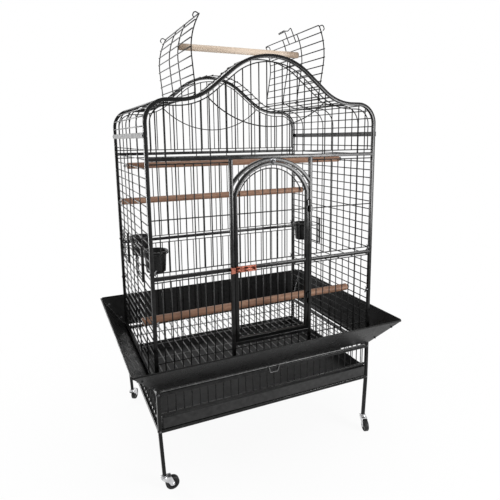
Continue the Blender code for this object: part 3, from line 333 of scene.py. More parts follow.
def square_section(half, radius=0.0016, steps=3, tall=None):
    """A square or oblong with rounded corners."""
    high = tall or half
    points = []
    for sx, sy, start in ((1, 1, 0), (-1, 1, pi / 2), (-1, -1, pi), (1, -1, 3 * pi / 2)):
        for k in range(steps + 1):
            a = start + pi / 2 * k / steps
            points.append((sx * (half - radius) + radius * cos(a), sy * (high - radius) + radius * sin(a)))
    return points


def bands(rows, steps, closed=False):
    """The faces between rings of points, and a cap at each end unless the rows themselves close."""
    faces = []
    for i in range(rows if closed else rows - 1):
        a, b = i * steps, (i + 1) % rows * steps
        for k in range(steps):
            n = (k + 1) % steps
            faces.append((a + k, b + k, b + n, a + n))
    if not closed:
        faces += [tuple(range(steps)), tuple(range((rows - 1) * steps, rows * steps))]
    return faces


def sweep(path, section, up, closed=False, ease=0):
    """A section run along a path with mitred bends. Ease rounds the two ends by that length."""
    pts = [Vector(p) for p in path]
    count = len(pts)
    last = count if closed else count - 1
    ways = [(pts[(i + 1) % count] - pts[i]).normalized() for i in range(last)]
    side = ways[0].cross(Vector(up)).normalized()
    lift = side.cross(ways[0]).normalized()
    if ease:
        pts[0] = pts[0] + ways[0] * ease
        pts[-1] = pts[-1] - ways[-1] * ease
    ring = [pts[0] + side * a + lift * b for a, b in section]
    if closed:
        plane = (ways[-1] + ways[0]).normalized()
        ring = [v + ways[0] * ((pts[0] - v).dot(plane) / ways[0].dot(plane)) for v in ring]
    rings = [ring]
    for i in range(1, count):
        way = ways[i - 1]
        plane = way if i >= last else (ways[i - 1] + ways[i]).normalized()
        rings.append([v + way * ((pts[i] - v).dot(plane) / way.dot(plane)) for v in rings[-1]])
    if ease:
        rings.insert(0, [pts[0] - ways[0] * ease + (v - pts[0]) * 0.62 for v in rings[0]])
        rings.append([pts[-1] + ways[-1] * ease + (v - pts[-1]) * 0.62 for v in rings[-1]])
    return [v for ring in rings for v in ring], bands(len(rings), len(section), closed)


def tube(path, up=OUT, half=TUBE_H, closed=False):
    """A square tube with rounded corners along a path."""
    return sweep(path, square_section(half), up, closed)


def rod(path, radius=WIRE, up=OUT, steps=10, closed=False):
    """A round wire along a path, with eased ends."""
    return sweep(path, round_section(radius, steps), up, closed, 0 if closed else radius * 0.55)


def level(z, x0, x1, y=-HALF_D, half=TUBE_H):
    """A level tube from x0 to x1, in the front wall unless y says otherwise."""
    return tube([(x0, y, z), (x1, y, z)], UP, half)


def rounded(points, radius, steps=5, closed=False):
    """The same path with its corners rounded."""
    pts = [Vector(p) for p in points]
    count = len(pts)
    out = []
    for i, p in enumerate(pts):
        back, on = pts[i - 1] - p, pts[(i + 1) % count] - p
        turn = back.angle(on)
        if turn > pi - 0.02 or not closed and i in (0, count - 1):
            out.append(p)
            continue
        reach = min(radius / tan(turn / 2), back.length * 0.48, on.length * 0.48)
        a, b = p + back.normalized() * reach, p + on.normalized() * reach
        for k in range(steps + 1):
            t = k / steps
            out.append(a * (1 - t) ** 2 + p * (2 * t * (1 - t)) + b * t * t)
    return out


def lathe(profile, steps, spot=(0, 0, 0), axis=UP):
    """A turned shape from a closed outline of (radius, height) points. Radius 0 makes a pole."""
    axis = Vector(axis).normalized()
    other = Vector((0, 0, 1)) if abs(axis.z) < 0.9 else Vector((1, 0, 0))
    one = other.cross(axis).normalized()
    two = axis.cross(one)
    verts, rows, faces = [], [], []
    for r, h in profile:
        centre = Vector(spot) + axis * h
        rows.append([len(verts) + (k if r else 0) for k in range(steps)])
        turns = [2 * pi * k / steps for k in range(steps if r else 1)]
        verts += [centre + one * cos(a) * r + two * sin(a) * r for a in turns]
    for low, high in zip(rows, rows[1:] + rows[:1]):
        for k in range(steps):
            face = tuple(dict.fromkeys((low[k - 1], low[k], high[k], high[k - 1])))
            if len(face) > 2:
                faces.append(face)
    return verts, faces


def slab(low, high, ease=0.0006):
    """A box with eased edges."""
    (x0, y0, z0), (x1, y1, z1) = low, high
    verts = []
    e = ease
    for z, inset in ((z0, e), (z0 + e, 0), (z1 - e, 0), (z1, e)):
        a0, a1, b0, b1 = x0 + inset, x1 - inset, y0 + inset, y1 - inset
        verts += [Vector(p) for p in ((a0 + e, b0, z), (a1 - e, b0, z), (a1, b0 + e, z), (a1, b1 - e, z),
                                      (a1 - e, b1, z), (a0 + e, b1, z), (a0, b1 - e, z), (a0, b0 + e, z))]
    return verts, bands(4, 8)


def placed(shapes, matrix):
    """The shapes moved by a matrix."""
    return [([matrix @ Vector(v) for v in verts], faces) for verts, faces in shapes]


def aim(spot, axis, turn=0):
    """A matrix that puts +Z on the axis at a spot, turned about it."""
    rotation = Vector(axis).to_track_quat("Z", "Y").to_matrix().to_4x4()
    return Matrix.Translation(spot) @ rotation @ Matrix.Rotation(turn, 4, "Z")


def domed(radius, height, base=0):
    """The outline of a dome, from its rim to its pole."""
    turns = [pi / 10 * k for k in range(5)]
    return [(radius * cos(a), base + height * sin(a)) for a in turns] + [(0, base + height)]


def pan_head(spot, axis, radius=0.0042, height=0.0024):
    """A domed screw head with a washer under it."""
    outline = [(0, 0), (radius * 1.35, 0), (radius * 1.35, 0.0007)] + domed(radius, height, 0.0007)
    return placed([lathe(outline, 16)], aim(spot, axis))[0]


def hex_nut(spot, axis, radius=0.0052, height=0.0038, stub=0.003):
    """A chamfered six-sided nut with the end of its bolt."""
    nut = lathe(((0, 0), (radius * 0.94, 0), (radius, height * 0.12), (radius, height * 0.85),
                 (radius * 0.9, height), (0, height)), 6)
    end = lathe(((0, height), (radius * 0.48, height), (radius * 0.48, height + stub),
                 (radius * 0.4, height + stub + 0.0006), (0, height + stub + 0.0006)), 12)
    return placed([nut, end], aim(spot, axis))


def wing_nut(spot, axis, turn=0, span=0.0125):
    """A wing nut: a tapered hub, two raised wings and the end of the bolt."""
    hub = ((0, 0), (0.0052, 0), (0.005, 0.002), (0.004, 0.0062), (0.0034, 0.0066), (0, 0.0066))
    end = ((0, 0.006), (0.0023, 0.006), (0.0023, 0.0088), (0.0018, 0.0094), (0, 0.0094))
    shapes = [lathe(hub, 16), lathe(end, 12)]
    for s in (-1, 1):
        ridge = [(s * 0.003, 0, 0.003), (s * span * 0.62, 0, 0.0062), (s * span * 0.92, 0, 0.0098),
                 (s * span, 0, 0.0118)]
        shapes.append(sweep(ridge, square_section(0.001, 0.0006, 2, 0.003), (0, 1, 0), ease=0.0012))
    return placed(shapes, aim(spot, axis, turn))


def piece(name, solid, *groups, body="cage"):
    """One mesh piece from (material, shapes) pairs. It rides on a body and stands for a solid."""
    mesh = bpy.data.meshes.new(name)
    verts, faces, marks = [], [], []
    for index, (material, shapes) in enumerate(groups):
        mesh.materials.append(material)
        for v, f in shapes:
            base = len(verts)
            verts += v
            faces += [tuple(i + base for i in face) for face in f]
            marks += [index] * len(f)
    mesh.from_pydata(verts, [], faces)
    mesh.polygons.foreach_set("material_index", marks)
    mesh.validate()
    edit = bmesh.new()
    edit.from_mesh(mesh)
    bmesh.ops.recalc_face_normals(edit, faces=edit.faces)
    edit.to_mesh(mesh)
    edit.free()
    mesh.shade_smooth()
    mesh.set_sharp_from_angle(angle=radians(38))
    obj = bpy.data.objects.new(name, mesh)
    scene.collection.objects.link(obj)
    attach(obj, body)
    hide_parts(solid)


# The dome line.
LEGS = (SHOULDER_Z - STRAP_Z, SHOULDER_R * pi / 2, HALF_W - SHOULDER_R - FLAT_X,
        VALLEY_R * SLOPE, SLOPE_LEN, CROWN_R * SLOPE)
HALF_RUN = sum(LEGS)


def dome_at(s):
    """A point of the right half of the dome line at run s from the strap, with its outward normal."""
    if s <= LEGS[0]:
        return HALF_W, STRAP_Z + s, 1, 0
    s -= LEGS[0]
    if s <= LEGS[1]:
        a = s / SHOULDER_R
        return HALF_W - SHOULDER_R + SHOULDER_R * cos(a), SHOULDER_Z + SHOULDER_R * sin(a), cos(a), sin(a)
    s -= LEGS[1]
    flat_z = SHOULDER_Z + SHOULDER_R
    if s <= LEGS[2]:
        return HALF_W - SHOULDER_R - s, flat_z, 0, 1
    s -= LEGS[2]
    if s <= LEGS[3]:
        a = s / VALLEY_R
        return FLAT_X - VALLEY_R * sin(a), flat_z + VALLEY_R * (1 - cos(a)), sin(a), cos(a)
    s -= LEGS[3]
    if s <= LEGS[4]:
        return (FLAT_X - VALLEY_R * sin(SLOPE) - s * cos(SLOPE),
                flat_z + VALLEY_R * (1 - cos(SLOPE)) + s * sin(SLOPE), sin(SLOPE), cos(SLOPE))
    a = SLOPE - min(s - LEGS[4], LEGS[5]) / CROWN_R
    return CROWN_R * sin(a), PEAK_Z - CROWN_R + CROWN_R * cos(a), sin(a), cos(a)


def run_at_x(x, inside=0):
    """The run along the dome line, or along a line inside it, where it reaches a given x."""
    low, high = 0, HALF_RUN
    for _ in range(50):
        mid = (low + high) / 2
        px, _z, nx, _nz = dome_at(mid)
        if px - nx * inside > x:
            low = mid
        else:
            high = mid
    return (low + high) / 2


HINGE_RUN = run_at_x(HINGE_X)
HINGE_Z = dome_at(HINGE_RUN)[1]


def dome_z(x, inside=0):
    """The height of the dome line, or of a line inside it, at x."""
    _x, z, _nx, nz = dome_at(run_at_x(abs(x), inside))
    return z - nz * inside


def fine_runs(start=0, end=HALF_RUN):
    """Runs along the dome line that are close together where it bends."""
    runs = []
    at = 0
    for leg, steps in zip(LEGS, (1, 12, 1, 9, 1, 11)):
        runs += [at + leg * k / steps for k in range(steps)]
        at += leg
    return [start] + [r for r in runs if start + 0.002 < r < end - 0.002] + [end]


def dome_line(runs, y, shift=0):
    """Points from the left side over the top to the right side."""
    half = []
    for s in runs:
        x, z, nx, nz = dome_at(s)
        half.append((x + nx * shift, y, z + nz * shift))
    whole = [(-x, yy, z) for x, yy, z in half]
    if abs(half[-1][0]) < 1e-6:
        half = half[:-1]
    return whole + list(reversed(half))


# Where things end or lie inside the tubes.
POST_IN_X = HALF_W - TUBE_H - FIT
POST_IN_Y = HALF_D - TUBE_H - FIT
LEVEL_END = POST_IN_X + 0.005
BAR_Y = HALF_D - TUBE_H - WIRE * 0.85
RUN_Y = BAR_Y - CROSSING

# Posts with the sleeve that joins them to the bent tubes, and their through bolts.
SLEEVE_H = 0.0053
SLEEVE_LEN = 0.02
POST_BOLTS = (0.63, 0.81)
for x, y, sx, sy, tag in CORNERS:
    post = tube([(x, y, BASE_TOP + FIT), (x, y, STRAP_Z - 0.001)])
    sleeve = tube([(x, y, STRAP_Z - SLEEVE_LEN), (x, y, STRAP_Z + 0.0008)], OUT, SLEEVE_H)
    bolts = []
    for z in POST_BOLTS:
        bolts += wing_nut((x - sx * TUBE_H, y, z), (-sx, 0, 0), pi / 2 + 0.15 * sy)
        bolts.append(pan_head((x + sx * TUBE_H, y, z), (sx, 0, 0)))
    piece("frame_post_" + tag, "post_" + tag, (TUBE_COAT, [post, sleeve]), (STEEL, bolts))

# Bent tubes that carry the dome.
ARCH_START = 0.0006
for sy, fb in ENDS:
    bent = tube(dome_line(fine_runs(ARCH_START), sy * HALF_D))
    piece("frame_arch_" + fb, "arch_" + fb, (TUBE_COAT, [bent]))


def arc_radius(half, rise):
    """The radius of an arc with this half width and rise."""
    return (half ** 2 + rise ** 2) / (2 * rise)


def arc_head(half, spring, top, y, steps=12, share=1, inset=0):
    """An arched head through its two springing points and its top."""
    radius = arc_radius(half, top - spring)
    centre = top - radius
    spread = atan2(half, spring - centre) * share
    reach = radius - inset
    return [(reach * sin(spread * t / steps), y, centre + reach * cos(spread * t / steps))
            for t in range(-steps, steps + 1)]


def hinge_half(z, way, x0, x1, back):
    """The lower half of a door hinge for way -1 and the upper one for 1: leaf, barrel and pin head."""
    low, high = sorted((z + way * KNUCKLE_GAP, z + way * KNUCKLE_LEN))
    start = min(z, low)
    tall = high - start
    r, e = 0.0044, 0.0008
    barrel = ((0, 0), (r - e, 0), (r, e), (r, tall - e), (r - e, tall), (0, tall))
    ball = [(0, 0)] + domed(0.0036, 0.003)
    return [slab((x0, PIN_Y - 0.0004, low), (x1, back, high)), lathe(barrel, 16, (PIN_X, PIN_Y, start)),
            lathe(ball, 14, (PIN_X, PIN_Y, z + way * KNUCKLE_LEN), (0, 0, way))]


def bead(x, z, wide=0, tall=0):
    """A thin weld bead on the front face of the tubes."""
    y = -HALF_D - TUBE_H + 0.0004
    return rod([(x - wide, y, z - tall), (x + wide, y, z + tall)], 0.0013, (0.3, 0.5, 0.8), 6)


# Front frame: rails, jambs, the arch over the door, fixed hinge halves, weld beads and the door stop.
LOW_RAIL = BODY_LOW + TUBE_H
BEAD = TUBE_H - 0.001
tubes = [level(z, -POST_IN_X, POST_IN_X) for z in (LOW_RAIL, UPPER_RAIL)]
tubes += [level(MID_RAIL, -POST_IN_X, -JAMB_X - TUBE_H), level(MID_RAIL, JAMB_X + TUBE_H, POST_IN_X),
          level(SILL_Z, -JAMB_X + TUBE_H, JAMB_X - TUBE_H, half=DOOR_H)]
for sx in (-1, 1):
    x = sx * JAMB_X
    tubes.append(tube([(x, -HALF_D, BODY_LOW + 2 * TUBE_H), (x, -HALF_D, UPPER_RAIL - TUBE_H)]))
    tubes += [bead(x, z, wide=BEAD) for z in (UPPER_RAIL - TUBE_H, BODY_LOW + 2 * TUBE_H)]
    tubes.append(bead(sx * (JAMB_X + TUBE_H), MID_RAIL, tall=BEAD))
    tubes += [bead(sx * (POST_IN_X + FIT), z, tall=BEAD) for z in (UPPER_RAIL, MID_RAIL, LOW_RAIL)]
tubes.append(tube(arc_head(JAMB_X, JAMB_SPRING, JAMB_TOP, -HALF_D), OUT, TUBE_H * 0.97))
for z in HINGES:
    tubes += hinge_half(z, -1, 0.1536, 0.1655, -0.33)
STOP_FACE = -0.3322
button = ((0, 0), (0.0085, 0), (0.008, 0.0022), (0.0055, 0.0042), (0, 0.0052))
stop = [slab((-0.0105, -0.3326, 1.168), (0.0105, -0.3303, 1.183), 0.0008),
        lathe(button, 18, (0, STOP_FACE, 1.172), OUT),
        rod([(-0.002, STOP_FACE, 1.182), (-0.0022, -0.333, 1.1885)], 0.0016)]
piece("front_tube_frame", "front_frame", (TUBE_COAT, tubes), (STEEL, stop))

# Front bars. They stand behind the tubes, with the level wires behind them.
BAR_FOOT = 0.4
FOOT_WIRE = BODY_LOW + 0.0215
SILL_WIRE = 0.483
BORDERS = (MID_RAIL - RAIL_WIRE, MID_RAIL + RAIL_WIRE)
TOP_BORDER = UPPER_RAIL - RAIL_WIRE
GABLE_FOOT = UPPER_RAIL + RAIL_WIRE
FRONT_LEVELS = (FOOT_WIRE, SILL_WIRE) + BORDERS + (THIN_RAIL, TOP_BORDER)
BACK_LEVELS = (FOOT_WIRE,) + BORDERS + (TOP_BORDER,)
left_bars = [FIRST_BAR + BAR_PITCH * 1.008 * k for k in range(8)]
right_bars = [0.4112 - 0.0307 * k for k in range(8)]
back_bars = [-0.415 + BAR_PITCH * k for k in range(28)]


def standing(xs, z0, tops, y):
    """Upright wires. Their tops are one height, or a function of x."""
    return [rod([(x, y, z0), (x, y, tops(x) if callable(tops) else tops)]) for x in xs]


def lying(zs, x0, x1, y):
    """Level wires from x0 to x1."""
    return [rod([(x0, y, z), (x1, y, z)], up=UP) for z in zs]


def crosswise(x, z, y0, y1, radius=WIRE, up=UP, steps=10):
    """A straight wire that runs from front to back."""
    return rod([(x, y0, z), (x, y1, z)], radius, up, steps)


def under_arch(x):
    return dome_z(x, 0.0045)


def under_inner(x):
    return dome_z(x, INNER_SHIFT)


def mat_bars(xs, y):
    """Bars that end at the wires beside the rails, apart from the through bars."""
    made = []
    for k, x in enumerate(xs):
        made += standing([x], BAR_FOOT, BORDERS[0], y)
        if k in THROUGH_BARS:
            made += standing([x], BORDERS[1], under_arch, y)
        else:
            made += standing([x], BORDERS[1], TOP_BORDER, y)
            made += standing([x], GABLE_FOOT, under_inner, y)
    return made


for lr, xs, x0, x1 in (("left", left_bars, -LEVEL_END, -JAMB_X + 0.004),
                       ("right", right_bars, JAMB_X - 0.004, LEVEL_END)):
    wires = mat_bars(xs, -BAR_Y) + lying(FRONT_LEVELS, x0, x1, -RUN_Y)
    piece("bars_front_" + lr, "front_bars_" + lr, (WIRE_COAT, wires))
wires = standing(DOOR_BARS, BAR_FOOT, SILL_Z, -BAR_Y)
wires += lying((FOOT_WIRE, SILL_WIRE), -JAMB_X + 0.0025, JAMB_X - 0.0025, -RUN_Y)
piece("bars_front_sill", "front_bars_sill", (WIRE_COAT, wires))

# Gables: the wire inside the arch, the hanging swag wire and their bars.
SWAG_HALF = 0.2305
SWAG_DROP = 0.095
SWAG_LOW = 1.2955


def gable_lines(y):
    """The wire that follows the arch on its inside, its level foot wire, and the hanging swag wire."""
    leg_x = HALF_W - INNER_SHIFT
    inner = dome_line(fine_runs(0.005), y, -INNER_SHIFT)
    inner = [(-leg_x, y, GABLE_FOOT)] + inner + [(leg_x, y, GABLE_FOOT)]
    radius = arc_radius(SWAG_HALF, SWAG_DROP)
    spread = atan2(SWAG_HALF, radius - SWAG_DROP)
    turns = [spread * k / 12 for k in range(-12, 13)]
    swag = [(radius * sin(a), y, SWAG_LOW + radius * (1 - cos(a))) for a in turns]
    return [rod(inner), rod(swag)] + lying((GABLE_FOOT,), -LEVEL_END, LEVEL_END, y)


wires = gable_lines(-RUN_Y)
for k in range(8, 20):
    foot, tops = (UPPER_RAIL + 0.003, under_arch) if k in THROUGH_BARS else (GABLE_FOOT, under_inner)
    wires += standing([FIRST_BAR + 0.0028 + BAR_PITCH * k], foot, tops, -BAR_Y)
piece("bars_front_gable", "gable_front", (WIRE_COAT, wires))

rails = [level(z, -POST_IN_X, POST_IN_X, HALF_D) for z in (LOW_RAIL, MID_RAIL, UPPER_RAIL)]
wires = mat_bars(back_bars, BAR_Y) + lying(BACK_LEVELS, -LEVEL_END, LEVEL_END, RUN_Y) + gable_lines(RUN_Y)
piece("back_wall", "back_panel", (TUBE_COAT, rails), (WIRE_COAT, wires))

# Side walls: level wires with the openings left free, uprights, a sill tube and the flat strap.
SMALL_HEAD = (0.0036, 0.002)
STRAP_GAP = 0.0002
STRAP_THICK = 0.0022
side_levels = [SIDE_LOW_WIRE + SIDE_PITCH * k for k in range(26)]
for sx, lr in SIDES:
    places = sorted(y for _tag, side, y in FEEDERS if side == sx)
    x = sx * HALF_W
    wires = []
    for z in side_levels:
        stops = [-POST_IN_Y]
        if OPEN_LOW + 0.001 < z < OPEN_HIGH - 0.001:
            for y in places:
                stops += [y - OPENING, y + OPENING]
        stops.append(POST_IN_Y)
        wires += [crosswise(sx * (HALF_W - WIRE * 1.8), z, y0, y1) for y0, y1 in zip(stops[::2], stops[1::2])]
    uprights = []
    for y in SIDE_UPRIGHTS[sx]:
        if any(abs(y - place) < OPENING for place in places):
            uprights += [(y, LOW_RAIL, OPEN_LOW), (y, OPEN_HIGH, STRAP_Z)]
        else:
            uprights.append((y, LOW_RAIL, STRAP_Z))
    for place in places:
        uprights += [(place + s * OPENING, OPEN_LOW - 0.004, OPEN_HIGH + 0.004) for s in (-1, 1)]
    wires += [rod([(x, y, z0), (x, y, z1)], up=WALL) for y, z0, z1 in uprights]
    sill = tube([(x, -POST_IN_Y, LOW_RAIL), (x, POST_IN_Y, LOW_RAIL)], UP)
    near = HALF_W + TUBE_H + STRAP_GAP
    far = near + STRAP_THICK
    x0, x1 = sorted((sx * near, sx * far))
    strap = slab((x0, -HALF_D - TUBE_H, STRAP_Z - 0.007), (x1, HALF_D + TUBE_H, STRAP_Z + 0.011), 0.0005)
    heads = [pan_head((sx * far, y, STRAP_Z + 0.002), (sx, 0, 0), 0.0036, 0.0018) for y in (-HALF_D, HALF_D)]
    piece("wall_" + lr, "side_panel_" + lr,
          (WIRE_COAT, wires), (TUBE_COAT, [sill]), (STRAP_COAT, [strap]), (STEEL, heads))

# Cup rings with their two arms.
RING_Z = CUP_LOW + CUP_LIP - 0.0021 - FIT
for tag, sx, y in FEEDERS:
    turns = [2 * pi * k / 36 for k in range(36)]
    ring = [(sx * CUP_X + RING_R * cos(a), y + RING_R * sin(a), RING_Z) for a in turns]
    wires = [rod(ring, up=UP, closed=True)]
    x0, x1 = sx * (CUP_X + 0.004), sx * (HALF_W - 0.004)
    for s in (-1, 1):
        wires.append(rod([(x0, y + s * RING_R, RING_Z), (x1, y + s * OPENING, RING_Z)], 0.002, UP))
    piece("ring_" + tag, "cup_ring_" + tag, (WIRE_COAT, wires))

# Feeder doors: border wire, level wires and a hinge rod.
FEED_X = HALF_W + 2 * WIRE_C + 0.0006
FEED_EDGE = 0.0035
for tag, sx, y in FEEDERS:
    x = sx * FEED_X
    z0, z1 = OPEN_LOW + FEED_EDGE, OPEN_HIGH - FEED_EDGE
    y0, y1 = y - OPENING - 0.004, y + OPENING + 0.004
    border = rounded([(x, y0, z0), (x, y1, z0), (x, y1, z1), (x, y0, z1)], 0.006, 5, True)
    shapes = [rod(border, 0.0026, WALL, closed=True)]
    for k in (1, 2, 3):
        shapes.append(crosswise(x + sx * WIRE * 1.7, OPEN_LOW + SIDE_PITCH * k, y0 - 0.001, y1 + 0.001))
    axis_y = y - OPENING - 0.0075
    shapes.append(rod([(x, axis_y, z0 - 0.004), (x, axis_y, z1 + 0.004)], 0.003, WALL))
    piece("feeder_hatch_" + tag, "feeder_door_" + tag, (WIRE_COAT, shapes), body="feeder_door_" + tag)

# Feed cups: thin moulded walls with a rolled lip and a foot ring.
CUP = [(0, 0.0012), (0.03, 0.0012), (0.0315, 0), (0.0345, 0), (0.036, 0.0016), (0.0368, 0.01)]
LIP = ((0.0412, 0), (0.0455, 0), (0.0472, 0.001), (0.0478, 0.003), (0.0472, 0.0055), (0.0455, 0.007),
       (0.043, 0.0072), (0.0405, 0.006), (0.0392, 0.003))
CUP += [(r, CUP_LIP + h) for r, h in LIP] + [(0.035, 0.01), (0.0335, 0.0045), (0.031, 0.0035), (0, 0.0035)]
for tag, sx, y in FEEDERS:
    piece("feed_cup_" + tag, "cup_" + tag,
          (PLASTIC, [lathe(CUP, 48, (sx * CUP_X, y, CUP_LOW))]), body="cup_" + tag)


def over_dome(s, side):
    """Where a wire lies across the ribs of the dome at run s: its x and z, and the way up from it."""
    x, z, nx, nz = dome_at(s)
    return side * (x + nx * CROSSING), z + nz * CROSSING, (side * nx, 0, nz)


# Roof shoulders: ribs, the wires across them and the hinge rod of the flap.
SHOULDER_STEPS = 9
SHOULDER_START = 0.0024
for sx, lr in SIDES:
    spots = [dome_at(s) for s in fine_runs(SHOULDER_START, HINGE_RUN)]
    wires = [rod([(sx * x, y, z) for x, z, _nx, _nz in spots], up=BACK) for y in SIDE_UPRIGHTS[sx]]
    for j in range(SHOULDER_STEPS - 1):
        s = SHOULDER_START + (HINGE_RUN - SHOULDER_START) * (j + 0.92) / SHOULDER_STEPS
        x, z, normal = over_dome(s, sx)
        wires.append(crosswise(x, z, -POST_IN_Y, POST_IN_Y, up=normal))
    wires.append(crosswise(sx * HINGE_X, HINGE_Z, -POST_IN_Y, POST_IN_Y, 0.0027))
    piece("roof_side_" + lr, "roof_shoulder_" + lr, (WIRE_COAT, wires))

# Fixed roof strips along the arches. The last short wire would double the one at the crown.
STRIP_Y = 0.2388
STRIP_PITCH = 0.0305
STRIP_EDGE = 0.006
for sy, fb in ENDS:
    wires = [rod(dome_line(fine_runs(HINGE_RUN + STRIP_EDGE), sy * STRIP_Y), up=BACK)]
    for j in range(9):
        step = (STRIP_EDGE + STRIP_PITCH * 1.5) / 2 if j == 0 else STRIP_PITCH * (j + 1)
        for side in (-1,) if j == 8 else (-1, 1):
            x, z, normal = over_dome(HINGE_RUN + step, side)
            wires.append(crosswise(x, z, sy * (STRIP_Y - 0.0023), sy * POST_IN_Y, up=normal))
    piece("roof_strip_wires_" + fb, "roof_strip_" + fb, (WIRE_COAT, wires))

# Roof flaps, drawn shut on the dome line and then swung open about the hinge rods.
FLAP_STEPS = 9
FLAP_START = HINGE_RUN + 0.0062
FLAP_END = HINGE_RUN + 0.2785
FLAP_RIBS = (-0.063, 0.063)
HOOK_R = 0.0052
HOOK_TURNS = [pi * 1.5 * k / 8 for k in range(9)]

# The pull handle of the right flap and the corner loops, as steps along an edge and out from it.
GRIP = ((-0.035, -0.029), (-0.035, 0.033), (-0.0035, 0.0255), (0.0215, 0.031), (0.0215, -0.029))
STUB = ((0.0215, 0.033), (0.0745, 0.031), (0.0745, 0.0268), (0.025, 0.0285))
LOOP = ((-0.004, 0), (-0.004, 0.013), (-0.01, 0.018), (-0.021, 0.017), (-0.024, 0.009))


def flap_point(sx, s, lift=0):
    """A point of a shut flap. Past the crown it goes straight on."""
    x, z, nx, nz = dome_at(min(s, HALF_RUN))
    extra = max(0, s - HALF_RUN)
    return Vector((sx * (x + nx * lift - extra * nz), 0, z + nz * lift + extra * nx))


for sx, lr, swing in ((-1, "left", OPEN_LEFT), (1, "right", OPEN_RIGHT)):
    runs = [s for s in fine_runs(FLAP_START) if s < FLAP_END - 0.012]
    line = [flap_point(sx, s) for s in runs + [FLAP_END]]
    corner = line[-1]
    way = (corner - line[-2]).normalized()
    edge = [(p.x, -HATCH_Y, p.z) for p in line] + [(p.x, HATCH_Y, p.z) for p in reversed(line)]
    wires = [rod(rounded(edge, 0.017, 6), WIRE * 1.06, BACK)]
    wires += [rod([(p.x, y, p.z) for p in line], up=BACK) for y in FLAP_RIBS]
    for y in FLAP_RIBS + (-HATCH_Y, HATCH_Y):
        hook = [(sx * (HINGE_X + HOOK_R * cos(a)), y, HINGE_Z + HOOK_R * sin(a)) for a in HOOK_TURNS]
        wires.append(rod(hook, up=BACK))
    for j in range(FLAP_STEPS):
        s = FLAP_START + (FLAP_END - FLAP_START) * (j + 0.12) / FLAP_STEPS
        spot = flap_point(sx, s, CROSSING)
        normal = flap_point(sx, s, 1) - flap_point(sx, s)
        wires.append(crosswise(spot.x, spot.z, -HATCH_Y - 0.0006, HATCH_Y + 0.0006, up=normal))
    if sx > 0:
        for shape, bend in ((GRIP, 0.006), (STUB, 0.002)):
            path = [(corner.x + way.x * out, y, corner.z + way.z * out) for y, out in shape]
            wires.append(rod(rounded(path, bend), 0.002, (way.z, 0.2, -way.x)))
    outward = Vector((-way.z, 0, way.x))
    if outward.x * sx < 0:
        outward = -outward
    loop = [corner + way * a + outward * b for a, b in LOOP]
    for y in (-HATCH_Y, HATCH_Y):
        wires.append(rod(rounded([(p.x, y, p.z) for p in loop], 0.005, 4), 0.0019, BACK))
    hinge = Matrix.Translation((sx * HINGE_X, 0, HINGE_Z))
    turn = hinge @ Matrix.Rotation(sx * swing, 4, "Y") @ hinge.inverted()
    piece("hatch_flap_" + lr, "flap_" + lr,
          (WIRE_COAT, placed(wires, turn)), body=lr + "_flap")

# Front door: its bent tube, its rail, the moving hinge halves and the copper guides of the bolt.
GUIDE_TOP = 0.008
GUIDE_GAP = 0.0033
PLATE_FRONT, PLATE_BACK = -0.3375, -0.3366


def bracket(x0, x1, plate, strips, half, gap, ease):
    """A plate before the bolt, with a strip above and below it. Plate and strips are given by their y."""
    spans = ((plate, -half, half), (strips, -half, -gap), (strips, gap, half))
    return [slab((x0, y0, MID_RAIL + z0), (x1, y1, MID_RAIL + z1), ease) for (y0, y1), z0, z1 in spans]


feet = [(sx * DOOR_X, -HALF_D, DOOR_LOW) for sx in (-1, 1)]
outline = feet[:1] + arc_head(DOOR_X, DOOR_SPRING, DOOR_TOP, -HALF_D) + feet[1:]
tubes = [tube(outline, OUT, DOOR_H, True), level(MID_RAIL, -DOOR_X + DOOR_H, DOOR_X - DOOR_H, half=DOOR_H)]
for z in HINGES:
    tubes += hinge_half(z, 1, 0.1435, 0.153, -0.3284)
guides = [slab((-0.15, PLATE_FRONT, MID_RAIL - 0.0115), (-0.073, PLATE_BACK, MID_RAIL + 0.0115), 0.0008)]
for x0, x1 in ((-0.146, -0.138), (-0.116, -0.108)):
    guides += bracket(x0, x1, (-0.3455, -0.3431), (-0.3455, -0.3369), GUIDE_TOP, GUIDE_GAP, 0.0005)
for x in (-0.129, -0.0765):
    for z in (-0.008, 0.008):
        guides.append(pan_head((x, PLATE_FRONT, MID_RAIL + z), OUT, 0.003, 0.0016))
piece("door_tube_frame", "door_frame", (TUBE_COAT, tubes), (COPPER, guides), body="front_door")

# Door wires, with a bent wire that follows the arch on its inside.
DOOR_BAR_Y = HALF_D - DOOR_H - WIRE * 0.85
DOOR_RUN_Y = DOOR_BAR_Y - CROSSING
DOOR_INSET = 0.018
DOOR_FOOT = DOOR_LOW + 0.0125
head_r = arc_radius(DOOR_X, DOOR_TOP - DOOR_SPRING)


def under_door_arch(x):
    return DOOR_TOP - head_r + sqrt((head_r - DOOR_INSET) ** 2 - x ** 2)


wires = standing(DOOR_BARS, DOOR_FOOT, BORDERS[0], -DOOR_BAR_Y)
wires += standing(DOOR_BARS, BORDERS[1], under_door_arch, -DOOR_BAR_Y)
wires += lying((DOOR_FOOT,) + BORDERS + (THIN_RAIL,), -DOOR_X, DOOR_X, -DOOR_RUN_Y)
wires.append(rod(arc_head(DOOR_X, DOOR_SPRING, DOOR_TOP, -DOOR_RUN_Y, 12, 0.985, DOOR_INSET)))
piece("door_wires", "door_bars", (WIRE_COAT, wires), body="front_door")

